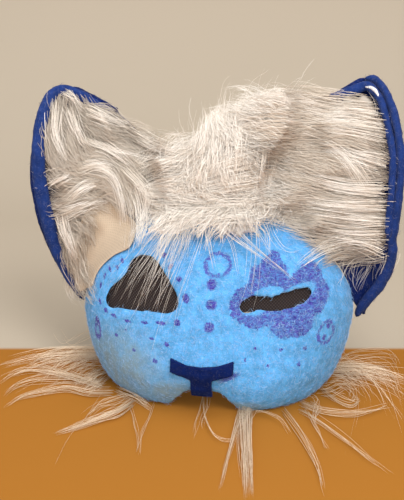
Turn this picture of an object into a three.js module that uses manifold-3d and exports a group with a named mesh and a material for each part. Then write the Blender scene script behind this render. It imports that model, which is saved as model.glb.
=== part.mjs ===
// Felt cat mask with two scooped felt ears and long white fur, standing on its lower rim.
// Millimetres, +Z up. The face looks along -Y, and +X is to the right of someone who looks at it.
// The origin is the middle of the whole mask's footprint, on the surface that it stands on.

import * as THREE from "three";
import { mergeVertices } from "three/addons/utils/BufferGeometryUtils.js";
import Module from "manifold-3d";

const wasm = await Module();
wasm.setup();

// Face shell: felt over a stiff base, one wall
const FACE_WIDTH = 180;
const FACE_HEIGHT = 116;
const FACE_DEPTH = 68;
const FACE_WALL = 3;

// Clearance between neighbouring pieces
const GAP = 0.4;

// Eye holes, measured in the front view from the middle of the face, and the mesh glued behind them
const LEFT_EYE = { across: -42, up: 74.5, wide: 50.5, tall: 31.5 };
const RIGHT_EYE = { across: 42.5, up: 69, wide: 42, tall: 11.5 };
const EYE_MESH_MARGIN = 5;
const EYE_MESH_THICKNESS = 1;

// Mouth arch between the two muzzle lobes
const ARCH_WIDTH = 52;
const ARCH_HEIGHT = 16;

// Nose: a felt bar with two raised wings and a stem down the lip
const NOSE_TOP = 33;
const NOSE_WIDTH = 39;
const NOSE_BAR = 8;
const NOSE_RISE = 3.5;
const NOSE_STEM_WIDTH = 13;
const NOSE_STEM_LENGTH = 12;
const NOSE_FELT = 2.5;

// Ears: a felt scoop each, with a rolled hem from the lower tip round the top
const LEFT_EAR_HEIGHT = 138;
const RIGHT_EAR_HEIGHT = 150;
const EAR_WIDTH = 90;
const EAR_DEPTH = 50;
const EAR_LOW = 44;
const EAR_FELT = 2.5;
const EAR_HEM = 3.4;

// Long fur: its backing and the locks that are fused to it
const FUR_BACKING = 5;
const EAR_FUR_FILL = 0.5;
const PILE = 75;
const LOCK_WIDTH = 13;
const EAR_LOCK_WIDTH = 18;
const CROWN_LOCK_WIDTH = 22;
const LOCK_FLATNESS = 0.55;
const LOCK_TIP = 0.07;

// How fine the meshes are
const FACE_COLUMNS = 26;
const FACE_ROWS = 17;
const EAR_COLUMNS = 8;
const EAR_ROWS = 12;
const HEM_SIDES = 6;
const HEM_STEPS = 24;
const LOCK_SIDES = 4;
const LOCK_STEPS = 4;

// The face from below the rim to the top edge. Each row is a level, as a share of the height, with its
// half width and its reach to the front as shares of their sizes, and how square its plan is (2 is an
// ellipse).
const FACE_SECTIONS = [
  { up: -0.05, wide: 0.78, deep: 0.86, square: 2.3 },
  { up: 0.07, wide: 0.88, deep: 0.94, square: 2.3 },
  { up: 0.2, wide: 0.95, deep: 1.0, square: 2.3 },
  { up: 0.33, wide: 0.99, deep: 0.99, square: 2.2 },
  { up: 0.47, wide: 1.0, deep: 0.94, square: 2.2 },
  { up: 0.61, wide: 0.95, deep: 0.86, square: 2.2 },
  { up: 0.75, wide: 0.81, deep: 0.73, square: 2.2 },
  { up: 0.87, wide: 0.61, deep: 0.54, square: 2.1 },
  { up: 0.95, wide: 0.41, deep: 0.32, square: 2 },
  { up: 0.985, wide: 0.26, deep: 0.18, square: 2 },
  { up: 1, wide: 0.13, deep: 0.08, square: 2 },
];

// Swells and hollows of the face in the front view: the middle of each as shares of the half width and
// the height, its size in the same shares, and how far it stands out as a share of the depth.
const FACE_RELIEF = [
  { across: -0.34, up: 0.12, wide: 0.27, tall: 0.17, out: 0.09 },
  { across: 0.46, up: 0.1, wide: 0.3, tall: 0.17, out: 0.13 },
  { across: 0, up: 0.26, wide: 0.17, tall: 0.14, out: 0.08 },
  { across: 0, up: 0.52, wide: 0.16, tall: 0.24, out: 0.05 },
  { across: -0.48, up: 0.62, wide: 0.28, tall: 0.15, out: -0.06 },
  { across: 0.48, up: 0.6, wide: 0.28, tall: 0.15, out: -0.06 },
];

// Both eye holes, anticlockwise from their outer low corner, as shares of the hole's width and height.
const LEFT_EYE_POINTS = [
  { x: -0.49, z: -0.5 },
  { x: -0.28, z: -0.48 },
  { x: 0.21, z: -0.44 },
  { x: 0.43, z: -0.4 },
  { x: 0.5, z: -0.22 },
  { x: 0.37, z: 0.1 },
  { x: 0.26, z: 0.32 },
  { x: 0.13, z: 0.48 },
  { x: -0.02, z: 0.5 },
  { x: -0.17, z: 0.4 },
  { x: -0.22, z: 0.14 },
  { x: -0.32, z: -0.02 },
  { x: -0.43, z: -0.19 },
];
const RIGHT_EYE_POINTS = [
  { x: -0.43, z: -0.5 },
  { x: -0.28, z: -0.38 },
  { x: -0.04, z: -0.44 },
  { x: 0.32, z: -0.26 },
  { x: 0.46, z: 0 },
  { x: 0.5, z: 0.38 },
  { x: 0.43, z: 0.5 },
  { x: 0.16, z: 0.41 },
  { x: -0.05, z: 0.2 },
  { x: -0.29, z: 0.26 },
  { x: -0.44, z: 0.12 },
  { x: -0.5, z: -0.22 },
];

// Each ear from its lower tip to its upper one. level is the place on the face's rim where the row
// starts, as a share of the face's table, and rise and in take it from there, as shares of the ear's
// height and width. up and out are the outer edge, from the lower tip and the side of the face, in the
// same shares.
const LEFT_EAR_ROWS = [
  { level: 0.4, in: 0, rise: 0, out: 0.07, up: 0 },
  { level: 0.49, in: 0, rise: 0, out: 0.19, up: 0.133 },
  { level: 0.57, in: 0, rise: 0, out: 0.278, up: 0.266 },
  { level: 0.66, in: 0, rise: 0, out: 0.344, up: 0.42 },
  { level: 0.73, in: 0, rise: 0, out: 0.383, up: 0.56 },
  { level: 0.8, in: 0.01, rise: 0.05, out: 0.394, up: 0.678 },
  { level: 0.8, in: 0.07, rise: 0.23, out: 0.378, up: 0.79 },
  { level: 0.8, in: 0.23, rise: 0.32, out: 0.356, up: 0.874 },
  { level: 0.8, in: 0.43, rise: 0.44, out: 0.33, up: 0.95 },
  { level: 0.8, in: 0.83, rise: 0.54, out: 0.31, up: 1 },
];
const RIGHT_EAR_ROWS = [
  { level: 0.4, in: 0, rise: 0, out: 0.06, up: 0 },
  { level: 0.49, in: 0, rise: 0, out: 0.14, up: 0.127 },
  { level: 0.57, in: 0, rise: 0, out: 0.2, up: 0.255 },
  { level: 0.66, in: 0, rise: 0, out: 0.245, up: 0.395 },
  { level: 0.74, in: 0, rise: 0, out: 0.275, up: 0.529 },
  { level: 0.82, in: -0.01, rise: 0.045, out: 0.285, up: 0.65 },
  { level: 0.82, in: 0, rise: 0.2, out: 0.27, up: 0.758 },
  { level: 0.82, in: 0.23, rise: 0.31, out: 0.244, up: 0.847 },
  { level: 0.82, in: 0.39, rise: 0.465, out: 0.178, up: 0.93 },
  { level: 0.82, in: 0.67, rise: 0.56, out: 0.078, up: 1 },
];

// How the scoop of either ear stands back from the rim, as shares of its depth: at its inner and outer
// edge, and how much deeper its middle is.
const EAR_CUP = [
  { inner: 0, outer: 0.1, hollow: 0 },
  { inner: 0, outer: 0.04, hollow: 0.1 },
  { inner: 0, outer: -0.04, hollow: 0.22 },
  { inner: 0, outer: -0.08, hollow: 0.38 },
  { inner: 0, outer: -0.08, hollow: 0.52 },
  { inner: 0.08, outer: -0.04, hollow: 0.6 },
  { inner: 0.28, outer: 0.08, hollow: 0.6 },
  { inner: 0.44, outer: 0.24, hollow: 0.5 },
  { inner: 0.6, outer: 0.48, hollow: 0.3 },
  { inner: 0.8, outer: 0.76, hollow: 0.06 },
];

// Where the hem's route runs, as levels of the ear: up its outer edge, and down its inner edge from the
// tip.
const HEM_OUTER_LEVELS = [0, 0.14, 0.28, 0.42, 0.56, 0.7, 0.82, 0.92, 0.98];
const HEM_INNER_LEVELS = [1, 0.95, 0.89];

// The part of each ear's grid that fur covers, and the locks on it: where each starts, and how far it
// sweeps to the inner edge and rises, as shares of half the width and of the height.
const LEFT_EAR_FUR = { columns: [1, 7], rows: [1, 11] };
const LEFT_EAR_LOCKS = [
  { across: 0.45, level: 0.86, sweep: 0.5, rise: -0.26 },
  { across: -0.2, level: 0.82, sweep: 0.8, rise: -0.2 },
  { across: 0.5, level: 0.66, sweep: 0.6, rise: -0.2 },
  { across: -0.1, level: 0.64, sweep: 1.1, rise: -0.12 },
  { across: 0.5, level: 0.46, sweep: 0.6, rise: -0.18 },
  { across: -0.1, level: 0.5, sweep: 1.1, rise: -0.12 },
  { across: 0.4, level: 0.3, sweep: 0.6, rise: -0.14 },
  { across: -0.15, level: 0.37, sweep: 0.9, rise: -0.1 },
];
const RIGHT_EAR_FUR = { columns: [1, 7], rows: [3, 11] };
const RIGHT_EAR_LOCKS = [
  { across: 0.55, level: 0.84, sweep: 1.1, rise: 0.04 },
  { across: -0.1, level: 0.82, sweep: 1.2, rise: 0.03 },
  { across: 0.55, level: 0.7, sweep: 1.0, rise: 0 },
  { across: -0.1, level: 0.68, sweep: 1.2, rise: 0 },
  { across: 0.55, level: 0.57, sweep: 1.0, rise: -0.03 },
  { across: -0.1, level: 0.55, sweep: 1.2, rise: -0.04 },
  { across: 0.55, level: 0.44, sweep: 1.0, rise: -0.05 },
  { across: -0.1, level: 0.42, sweep: 1.1, rise: -0.08 },
];

// The part of the face's grid that the crown's fur covers, and its locks that fall over the forehead:
// their place across the face and the levels of their ends.
const CROWN_FUR = { columns: [3, 20], rows: [13, 17] };
const CROWN_FRINGE = [
  { across: -0.46, from: 0.78, to: 0.42 },
  { across: -0.34, from: 0.8, to: 0.4 },
  { across: -0.22, from: 0.82, to: 0.46 },
  { across: -0.08, from: 0.84, to: 0.58 },
  { across: 0.07, from: 0.86, to: 0.62 },
  { across: 0.2, from: 0.84, to: 0.58 },
  { across: 0.34, from: 0.82, to: 0.64 },
];

// Locks that stand up from the crown: the level of their roots, their place across it and how they lean,
// as shares of the pile.
const CROWN_TUFT_LEVEL = 0.84;
const CROWN_TUFT = [
  { across: -0.46, right: -0.24, back: 0.1, rise: 0.42 },
  { across: -0.3, right: -0.18, back: 0.25, rise: 0.6 },
  { across: -0.15, right: -0.08, back: 0.15, rise: 0.7 },
  { across: 0, right: 0.04, back: 0.25, rise: 0.78 },
  { across: 0.14, right: 0.15, back: 0.15, rise: 0.84 },
  { across: 0.28, right: 0.28, back: 0.1, rise: 0.78 },
];

// The levels of the rim between which fur lines the back of each cheek.
const CHEEK_FUR = { from: 0.07, to: 0.24 };

// Locks that lie on the surface beside each cheek: the level of their root on the rim, where they end
// beside and in front of it, and how far they bow outwards, as shares of the pile.
const LEFT_CHEEK_LOCKS = [
  { level: 0.075, out: 0.05, front: 1.5, bow: 0.14 },
  { level: 0.075, out: 0.32, front: 1.25, bow: 0.08 },
  { level: 0.08, out: 0.58, front: 0.98, bow: 0.03 },
  { level: 0.1, out: 0.8, front: 0.65, bow: 0 },
  { level: 0.13, out: 0.95, front: 0.38, bow: 0 },
  { level: 0.16, out: 1.0, front: 0.12, bow: 0 },
  { level: 0.19, out: 0.85, front: -0.15, bow: 0 },
];
const RIGHT_CHEEK_LOCKS = [
  { level: 0.075, out: 0.08, front: 1.6, bow: 0.14 },
  { level: 0.075, out: 0.34, front: 1.35, bow: 0.08 },
  { level: 0.08, out: 0.5, front: 0.95, bow: 0.03 },
  { level: 0.1, out: 0.65, front: 0.58, bow: 0 },
  { level: 0.13, out: 0.8, front: 0.28, bow: 0 },
  { level: 0.16, out: 0.85, front: 0, bow: 0 },
  { level: 0.19, out: 0.65, front: -0.25, bow: 0 },
];

// The part of the face's table whose inside carries the chin's fur: across from the middle, and its
// levels.
const CHIN_FUR = { across: [0.08, 0.34], levels: [0.07, 0.16] };

// Locks that come out through the mouth arch and lie in front, as shares of the pile from the arch's
// middle.
const CHIN_LOCKS = [
  { root: 0.12, out: [0.13, 0.3, 0.4, 0.48], front: [0.04, 0.25, 0.7, 1.25], wide: 0.8 },
  { root: 0.06, out: [0.03, 0.06, 0.18, 0.3], front: [0.04, 0.3, 0.42, 0.34], wide: 0.4 },
];

const FELT_BLUE = new THREE.MeshStandardMaterial({ color: 0x6bb2ea, roughness: 0.95, metalness: 0 });
const FELT_NAVY = new THREE.MeshStandardMaterial({ color: 0x12309c, roughness: 0.95, metalness: 0 });
const MESH_BLACK = new THREE.MeshStandardMaterial({ color: 0x1c1a1b, roughness: 0.8, metalness: 0 });
const FUR_WHITE = new THREE.MeshStandardMaterial({ color: 0xe6dccf, roughness: 0.9, metalness: 0 });

const clamp = THREE.MathUtils.clamp;
const lerp = THREE.MathUtils.lerp;

// Reads the named columns of a table of evenly spaced rows at a share from 0 to 1, as smooth curves.
function tableCurve(rows, columns) {
  const places = rows.map((row, i) => i / (rows.length - 1));
  const values = rows.flatMap((row) => columns.map((column) => row[column]));
  const curve = new THREE.CubicInterpolant(places, values, columns.length);
  return (share) => [...curve.evaluate(clamp(share, 0, 1))];
}

const faceSection = tableCurve(FACE_SECTIONS, ["up", "wide", "deep", "square"]);

// How far the relief stands out at a place in the front view.
function faceRelief(x, z) {
  return FACE_RELIEF.reduce((sum, swell) => {
    const across = (x / (FACE_WIDTH / 2) - swell.across) / swell.wide;
    const up = (z / FACE_HEIGHT - swell.up) / swell.tall;
    return sum + FACE_DEPTH * swell.out * Math.exp(-across * across - up * up);
  }, 0);
}

// A point of the face's outside: across runs from -1 at the left rim to 1 at the right, level from 0 to
// 1.
function faceSurface(across, level) {
  const [up, wide, deep, square] = faceSection(level);
  const angle = (across * Math.PI) / 2;
  const x = ((Math.sign(across) * FACE_WIDTH) / 2) * wide * Math.abs(Math.sin(angle)) ** (2 / square);
  const z = FACE_HEIGHT * up;
  const reach = Math.max(Math.cos(angle), 0) ** (2 / square);
  return new THREE.Vector3(x, -reach * (FACE_DEPTH * deep + faceRelief(x, z)), z);
}

// The same point moved along the surface's normal.
function faceSkin(across, level, out) {
  const step = 0.01;
  const right = faceSurface(Math.min(across + step, 1), level);
  const along = right.sub(faceSurface(Math.max(across - step, -1), level));
  const above = faceSurface(across, Math.min(level + step, 1));
  const rising = above.sub(faceSurface(across, Math.max(level - step, 0)));
  const normal = along.cross(rising).normalize();
  return faceSurface(across, level).addScaledVector(normal, out);
}

// The level of the face's table at a height.
function faceLevel(z) {
  let low = 0;
  let high = 1;
  for (let i = 0; i < 24; i += 1) {
    const middle = (low + high) / 2;
    if (faceSection(middle)[0] * FACE_HEIGHT < z) low = middle;
    else high = middle;
  }
  return (low + high) / 2;
}

// A point over the face at a place in the front view, that far out from its surface.
function overFace(x, z, out) {
  const level = faceLevel(z);
  const [, wide, , square] = faceSection(level);
  const share = clamp(Math.abs(x) / ((FACE_WIDTH / 2) * wide), 0, 1);
  const across = (Math.sign(x) * Math.asin(share ** (square / 2)) * 2) / Math.PI;
  return faceSkin(across, level, out);
}

// A geometry whose points are moved by place(x, y, z).
function shaped(geometry, place) {
  const points = geometry.getAttribute("position");
  for (let i = 0; i < points.count; i += 1) {
    const moved = place(points.getX(i), points.getY(i), points.getZ(i));
    points.setXYZ(i, moved.x, moved.y, moved.z);
  }
  return geometry;
}

// A closed sheet: surface(u, v, w) has u across and v up from 0 to 1, and w from 0 at its back to 1 at
// its front.
function sheet(columns, rows, surface) {
  const box = new THREE.BoxGeometry(1, 1, 1, columns, rows, 1);
  return shaped(box, (x, y, z) => surface(x + 0.5, y + 0.5, z + 0.5));
}

// A manifold solid from a closed geometry, turned right side out.
function solid(geometry) {
  const bare = new THREE.BufferGeometry();
  bare.setAttribute("position", geometry.getAttribute("position"));
  bare.setIndex(geometry.index);
  const merged = mergeVertices(bare, 1e-3);
  const corners = merged.index.array;
  const triangles = [];
  for (let i = 0; i < corners.length; i += 3) {
    const [a, b, c] = corners.slice(i, i + 3);
    if (a !== b && b !== c && c !== a) triangles.push(a, b, c);
  }
  const vertProperties = new Float32Array(merged.getAttribute("position").array);
  const make = (triVerts) => new wasm.Manifold(new wasm.Mesh({ numProp: 3, vertProperties, triVerts }));
  const made = make(new Uint32Array(triangles));
  return made.volume() > 0 ? made : make(new Uint32Array(triangles.reverse()));
}

function mesh(name, made, material) {
  const { vertProperties, triVerts, numProp } = made.getMesh();
  const geometry = new THREE.BufferGeometry();
  const points = new Float32Array((vertProperties.length / numProp) * 3);
  for (let i = 0; i < points.length / 3; i += 1) {
    points.set(vertProperties.subarray(i * numProp, i * numProp + 3), i * 3);
  }
  geometry.setAttribute("position", new THREE.BufferAttribute(points, 3));
  geometry.setIndex(new THREE.BufferAttribute(new Uint32Array(triVerts), 1));
  geometry.computeVertexNormals();
  const named = new THREE.Mesh(geometry, material);
  named.name = name;
  return named;
}

// A flat outline in the front view, pushed through the face from front to back.
function punch(outline) {
  const geometry = new THREE.ExtrudeGeometry(outline, { depth: 2 * FACE_DEPTH, bevelEnabled: false });
  return solid(geometry.rotateX(Math.PI / 2).translate(0, 0.25 * FACE_DEPTH, 0));
}

// A layer between two distances from the face's surface, on the face's own grid. The first side has its
// triangles cut as the inside of the wall has, and the second as the outside, so a piece on either side
// lies parallel to it.
function skinLayer(first, second) {
  return solid(sheet(FACE_COLUMNS, FACE_ROWS, (u, v, w) => faceSkin(2 * u - 1, v, lerp(first, second, w))));
}

// A smooth closed outline through points given as shares of a hole's size, grown outwards.
function roundOutline(hole, points, grow = 0) {
  const placed = points.map(({ x, z }) => {
    const out = new THREE.Vector3(x * hole.wide, z * hole.tall, 0);
    const middle = new THREE.Vector3(hole.across, hole.up, 0);
    return out.addScaledVector(out.clone().normalize(), grow).add(middle);
  });
  const curve = new THREE.CatmullRomCurve3(placed, true, "centripetal");
  const round = curve.getPoints(2 * placed.length).slice(0, -1);
  return new THREE.Shape(round.map((point) => new THREE.Vector2(point.x, point.y)));
}

// All that lies under the surface that the mask stands on.
function below() {
  const reach = 4 * FACE_WIDTH;
  return solid(new THREE.BoxGeometry(reach, reach, reach).translate(0, 0, -reach / 2));
}

// The mouth arch in the front view, drawn in from its edge by a margin.
function mouthArch(margin = 0) {
  const half = ARCH_WIDTH / 2 - margin;
  const top = ARCH_HEIGHT - margin;
  const arch = new THREE.Shape();
  arch.moveTo(-half, -GAP);
  arch.bezierCurveTo(-0.67 * half, 0, -0.67 * half, top, 0, top);
  arch.bezierCurveTo(0.67 * half, top, 0.67 * half, 0, half, -GAP);
  return arch;
}

function face() {
  return skinLayer(-FACE_WALL, 0)
    .subtract(below())
    .subtract(punch(mouthArch()))
    .subtract(punch(roundOutline(LEFT_EYE, LEFT_EYE_POINTS)))
    .subtract(punch(roundOutline(RIGHT_EYE, RIGHT_EYE_POINTS)));
}

// Black mesh glued behind an eye hole, following the inside of the wall.
function eyeMesh(hole, points) {
  const front = -FACE_WALL - GAP;
  const outline = roundOutline(hole, points, EYE_MESH_MARGIN);
  return skinLayer(front, front - EYE_MESH_THICKNESS).intersect(punch(outline));
}

// The nose's outline: a shallow V of even width with a stem under its middle.
function noseOutline() {
  const half = NOSE_WIDTH / 2;
  const stem = NOSE_STEM_WIDTH / 2;
  const low = NOSE_TOP - NOSE_BAR;
  const side = [
    { x: stem, z: low - NOSE_STEM_LENGTH },
    { x: stem, z: low },
    { x: half, z: low + NOSE_RISE },
    { x: half, z: NOSE_TOP + NOSE_RISE },
    { x: half / 2, z: NOSE_TOP + NOSE_RISE / 4 },
  ];
  const outline = [...side, ...side.toReversed().map(({ x, z }) => ({ x: -x, z }))];
  return new THREE.Shape(outline.map(({ x, z }) => new THREE.Vector2(x, z)));
}

function nose() {
  return skinLayer(GAP + NOSE_FELT, GAP).intersect(punch(noseOutline()));
}

// The middle of an ear's felt: across runs from -1 at its inner edge to 1 at its outer one, level from 0
// to 1.
function earMaker(side, height, rows) {
  const edges = tableCurve(rows, ["level", "in", "rise", "out", "up"]);
  const cup = tableCurve(EAR_CUP, ["inner", "outer", "hollow"]);
  const seat = GAP + EAR_FELT / 2;
  return (across, level) => {
    const [rimLevel, inShare, rise, out, up] = edges(level);
    const [inner, outer, hollow] = cup(level);
    const rim = faceSurface(1, rimLevel);
    const k = (across + 1) / 2;
    const inX = rim.x - FACE_WALL / 2 + EAR_WIDTH * inShare;
    const x = lerp(inX, FACE_WIDTH / 2 + EAR_WIDTH * out, k);
    const z = lerp(rim.z + height * rise, EAR_LOW + height * up, k);
    const back = EAR_DEPTH * (lerp(inner, outer, k) + hollow * (1 - across * across));
    return new THREE.Vector3(side * x, seat + back, z);
  };
}

const leftEarSurface = earMaker(-1, LEFT_EAR_HEIGHT, LEFT_EAR_ROWS);
const rightEarSurface = earMaker(1, RIGHT_EAR_HEIGHT, RIGHT_EAR_ROWS);

// A point moved along a surface's normal, which is turned to look to the front.
function offset(surface, across, level, out) {
  const step = 0.01;
  const along = surface(across + step, level).sub(surface(across - step, level));
  const rising = surface(across, Math.min(level + step, 1)).sub(surface(across, Math.max(level - step, 0)));
  const normal = along.cross(rising).normalize();
  if (normal.y > 0) normal.negate();
  return surface(across, level).addScaledVector(normal, out);
}

// The rolled hem: up the outer edge, round the tip and down the inner edge to its blunt end.
function hem(surface, radius) {
  const outer = HEM_OUTER_LEVELS.map((level) => surface(1, level));
  const inner = HEM_INNER_LEVELS.map((level) => surface(-1, level));
  const route = new THREE.CatmullRomCurve3([...outer, ...inner]);
  const section = new THREE.Shape();
  section.absarc(0, 0, radius, 0, 2 * Math.PI);
  const curveSegments = HEM_SIDES / 2;
  const options = { steps: HEM_STEPS, curveSegments, extrudePath: route, bevelEnabled: false };
  return solid(new THREE.ExtrudeGeometry(section, options));
}

// A layer between two distances from an ear's middle, as wide as the ear or a share wider at both edges.
function earLayer(surface, inner, outer, wider = 0) {
  const layer = sheet(EAR_COLUMNS, EAR_ROWS, (u, v, w) => {
    return offset(surface, (1 + wider) * (2 * u - 1), v, lerp(inner, outer, w));
  });
  return solid(layer);
}

function ear(surface) {
  return earLayer(surface, -EAR_FELT / 2, EAR_FELT / 2).add(hem(surface, EAR_HEM));
}

// What fur keeps clear of, with room around it: the face with its hollow filled, and an ear with its
// back, which is a share wider than the ear.
const ROOM = 0.75 * GAP;
const EAR_ROOM_WIDER = 0.03;

function faceRoom() {
  return solid(
    sheet(FACE_COLUMNS, FACE_ROWS, (u, v, w) => {
      const point = faceSkin(2 * u - 1, v, ROOM);
      return w > 0.5 ? point : point.setY(ROOM);
    }),
  );
}

function earRoom(surface) {
  return earLayer(surface, -EAR_HEM, EAR_FELT / 2 + ROOM, EAR_ROOM_WIDER).add(hem(surface, EAR_HEM + ROOM));
}

// A lock of fur along a route, flat across the direction named wideways: fullest near its root, with a
// fine tip.
function lock(route, width, wideways, grow = 0) {
  const curve = new THREE.CatmullRomCurve3(route);
  const geometry = new THREE.CylinderGeometry(1, 1, 1, LOCK_SIDES, LOCK_STEPS);
  const bent = shaped(geometry, (x, y, z) => {
    const share = y + 0.5;
    const fullness = Math.sqrt(1 - share) * (0.75 + 0.5 * share);
    const radius = (width / 2) * lerp(LOCK_TIP, 1, fullness);
    const tangent = curve.getTangent(share);
    const side = wideways.clone().addScaledVector(tangent, -wideways.dot(tangent)).normalize();
    const thick = tangent.clone().cross(side);
    return curve
      .getPoint(share)
      .addScaledVector(tangent, 2 * y * grow)
      .addScaledVector(side, x * (radius + grow))
      .addScaledVector(thick, z * (LOCK_FLATNESS * radius + grow));
  });
  return solid(bent);
}

function fuse(solids) {
  return solids.reduce((whole, next) => whole.add(next));
}

// The shares of a lock's length at which its route has a point
const LOCK_POINTS = [0, 0.35, 0.7, 1];

const RIGHT = new THREE.Vector3(1, 0, 0);
const FRONT = new THREE.Vector3(0, -1, 0);
const UP = new THREE.Vector3(0, 0, 1);

// A point moved by distances to the right, to the front and up.
function moved(point, right, front, rise) {
  const sideways = point.clone().addScaledVector(RIGHT, right);
  return sideways.addScaledVector(FRONT, front).addScaledVector(UP, rise);
}

// Fur inside an ear: a backing on part of the ear's own grid that fills the hollow, and locks that lie on
// it.
function earFur(surface, fur, locks, grow = 0) {
  const [firstColumn, lastColumn] = fur.columns;
  const [firstRow, lastRow] = fur.rows;
  const bottom = EAR_FELT / 2 + GAP;
  const hollow = tableCurve(EAR_CUP, ["hollow"]);
  const top = (across, level) => {
    return bottom + FUR_BACKING + EAR_FUR_FILL * EAR_DEPTH * hollow(level)[0] * (1 - across * across);
  };
  const backing = sheet(lastColumn - firstColumn, lastRow - firstRow, (u, v, w) => {
    const across = (2 * lerp(firstColumn, lastColumn, u)) / EAR_COLUMNS - 1;
    const level = lerp(firstRow, lastRow, v) / EAR_ROWS;
    return offset(surface, across, level, lerp(top(across, level) + grow, bottom - grow, w));
  });
  const made = locks.map(({ across, level, sweep, rise }) => {
    const lying = [0, 1, 2].map((k) => {
      const place = [across - (sweep * k) / 3, level + (rise * k) / 3];
      return offset(surface, ...place, top(...place) + (FUR_BACKING * (k - 0.5)) / 2);
    });
    const end = lying[2].clone().multiplyScalar(2).sub(lying[1]);
    const rising = surface(across, level + 0.05).sub(surface(across, level - 0.05));
    return lock([...lying, end], EAR_LOCK_WIDTH, rising.normalize(), grow);
  });
  return fuse([solid(backing), ...made]);
}

// Fur on the crown: a backing on part of the face's own grid, a fringe over the forehead and a tuft.
function crownFur() {
  const [firstColumn, lastColumn] = CROWN_FUR.columns;
  const [firstRow, lastRow] = CROWN_FUR.rows;
  const backing = sheet(lastColumn - firstColumn, lastRow - firstRow, (u, v, w) => {
    const across = (2 * lerp(firstColumn, lastColumn, u)) / FACE_COLUMNS - 1;
    return faceSkin(across, lerp(firstRow, lastRow, v) / FACE_ROWS, GAP + FUR_BACKING * (1 - w));
  });
  const root = GAP + FUR_BACKING;
  const fringe = CROWN_FRINGE.map(({ across, from, to }) => {
    const route = LOCK_POINTS.map((k) => faceSkin(across, lerp(from, to, k), root));
    return lock(route, LOCK_WIDTH, RIGHT);
  });
  const tuft = CROWN_TUFT.map(({ across, right, back, rise }) => {
    const start = faceSkin(across, CROWN_TUFT_LEVEL, root / 2);
    const route = LOCK_POINTS.map((k) => {
      return moved(start, PILE * right * k * k, -PILE * back * k * k, PILE * rise * k);
    });
    return lock(route, CROWN_LOCK_WIDTH, RIGHT);
  });
  return fuse([solid(backing), ...fringe, ...tuft]);
}

// Fur behind a cheek: a strip behind the low part of the rim, with locks that come down beside the face.
function cheekFur(side, locks) {
  const strip = sheet(1, locks.length, (u, v, w) => {
    const rim = faceSurface(1, lerp(CHEEK_FUR.from, CHEEK_FUR.to, v));
    return new THREE.Vector3(side * (rim.x - 2 * FUR_BACKING * u), GAP + FUR_BACKING * w, rim.z);
  });
  const made = locks.map(({ level, out, front, bow }) => {
    const rim = faceSurface(1, level);
    const half = FUR_BACKING / 2;
    const start = new THREE.Vector3(side * (rim.x - FUR_BACKING), GAP + half, rim.z + half);
    const route = LOCK_POINTS.map((k) => {
      const height = lerp(start.z, FUR_BACKING / 4, Math.sqrt(k));
      const beside = (FUR_BACKING + PILE * out) * k + 4 * PILE * bow * k * (1 - k);
      return moved(start, side * beside, PILE * front * k * k, height - start.z);
    });
    const along = route[route.length - 1].clone().sub(start);
    return lock(route, LOCK_WIDTH, along.cross(UP).normalize());
  });
  return fuse([solid(strip), ...made]).subtract(below());
}

// Fur inside the right lobe of the muzzle, with locks that come out through the mouth arch.
function chinFur() {
  const inside = -FACE_WALL - GAP;
  const backing = sheet(4, 2, (u, v, w) => {
    const depth = inside - FUR_BACKING * (1 - w);
    return faceSkin(lerp(...CHIN_FUR.across, u), lerp(...CHIN_FUR.levels, v), depth);
  });
  const locks = CHIN_LOCKS.map(({ root, out, front, wide }) => {
    const start = overFace(PILE * root, FUR_BACKING, inside - FUR_BACKING / 2);
    const sill = overFace(0, FUR_BACKING, 0);
    const ends = out.map((right, k) => {
      return new THREE.Vector3(PILE * right, sill.y - PILE * front[k], FUR_BACKING / 2);
    });
    return lock([start, ...ends], wide * LOCK_WIDTH, RIGHT);
  });
  const wall = skinLayer(-FACE_WALL - ROOM, ROOM).subtract(punch(mouthArch(ROOM)));
  return fuse([solid(backing), ...locks]).subtract(below()).subtract(wall);
}

const leftEarRoom = earRoom(leftEarSurface);
const rightEarRoom = earRoom(rightEarSurface);
const earFurIn = (grow) => [
  earFur(leftEarSurface, LEFT_EAR_FUR, LEFT_EAR_LOCKS, grow),
  earFur(rightEarSurface, RIGHT_EAR_FUR, RIGHT_EAR_LOCKS, grow),
];
const [leftEarFur, rightEarFur] = earFurIn(0);
const [leftFurRoom, rightFurRoom] = earFurIn(ROOM);

const mask = new THREE.Group();
mask.add(mesh("face", face(), FELT_BLUE));
mask.add(mesh("eye_mesh_left", eyeMesh(LEFT_EYE, LEFT_EYE_POINTS), MESH_BLACK));
mask.add(mesh("eye_mesh_right", eyeMesh(RIGHT_EYE, RIGHT_EYE_POINTS), MESH_BLACK));
mask.add(mesh("nose", nose(), FELT_NAVY));
mask.add(mesh("ear_left", ear(leftEarSurface), FELT_NAVY));
mask.add(mesh("ear_right", ear(rightEarSurface), FELT_NAVY));
mask.add(mesh("ear_fur_left", leftEarFur.subtract(leftEarRoom).subtract(faceRoom()), FUR_WHITE));
mask.add(mesh("ear_fur_right", rightEarFur.subtract(rightEarRoom).subtract(faceRoom()), FUR_WHITE));
const rooms = [leftFurRoom, rightFurRoom, leftEarRoom, rightEarRoom, faceRoom()];
const crown = rooms.reduce((left, room) => left.subtract(room), crownFur());
mask.add(mesh("crown_fur", crown, FUR_WHITE));
mask.add(mesh("cheek_fur_left", cheekFur(-1, LEFT_CHEEK_LOCKS).subtract(faceRoom()), FUR_WHITE));
mask.add(mesh("cheek_fur_right", cheekFur(1, RIGHT_CHEEK_LOCKS).subtract(faceRoom()), FUR_WHITE));
mask.add(mesh("chin_fur", chinFur(), FUR_WHITE));

// The origin moves from the middle of the face's rim to the middle of the footprint.
const bounds = new THREE.Box3().setFromObject(mask);
const middle = bounds.getCenter(new THREE.Vector3());
mask.position.set(-middle.x, -middle.y, -bounds.min.z);

export default mask;
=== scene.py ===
"""Felt cat mask with scooped felt ears and long white fur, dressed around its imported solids.

The mask stands on its lower rim. Lengths are in metres, +Z is up and the face looks along -Y.
"""

import math
from collections import namedtuple

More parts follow.
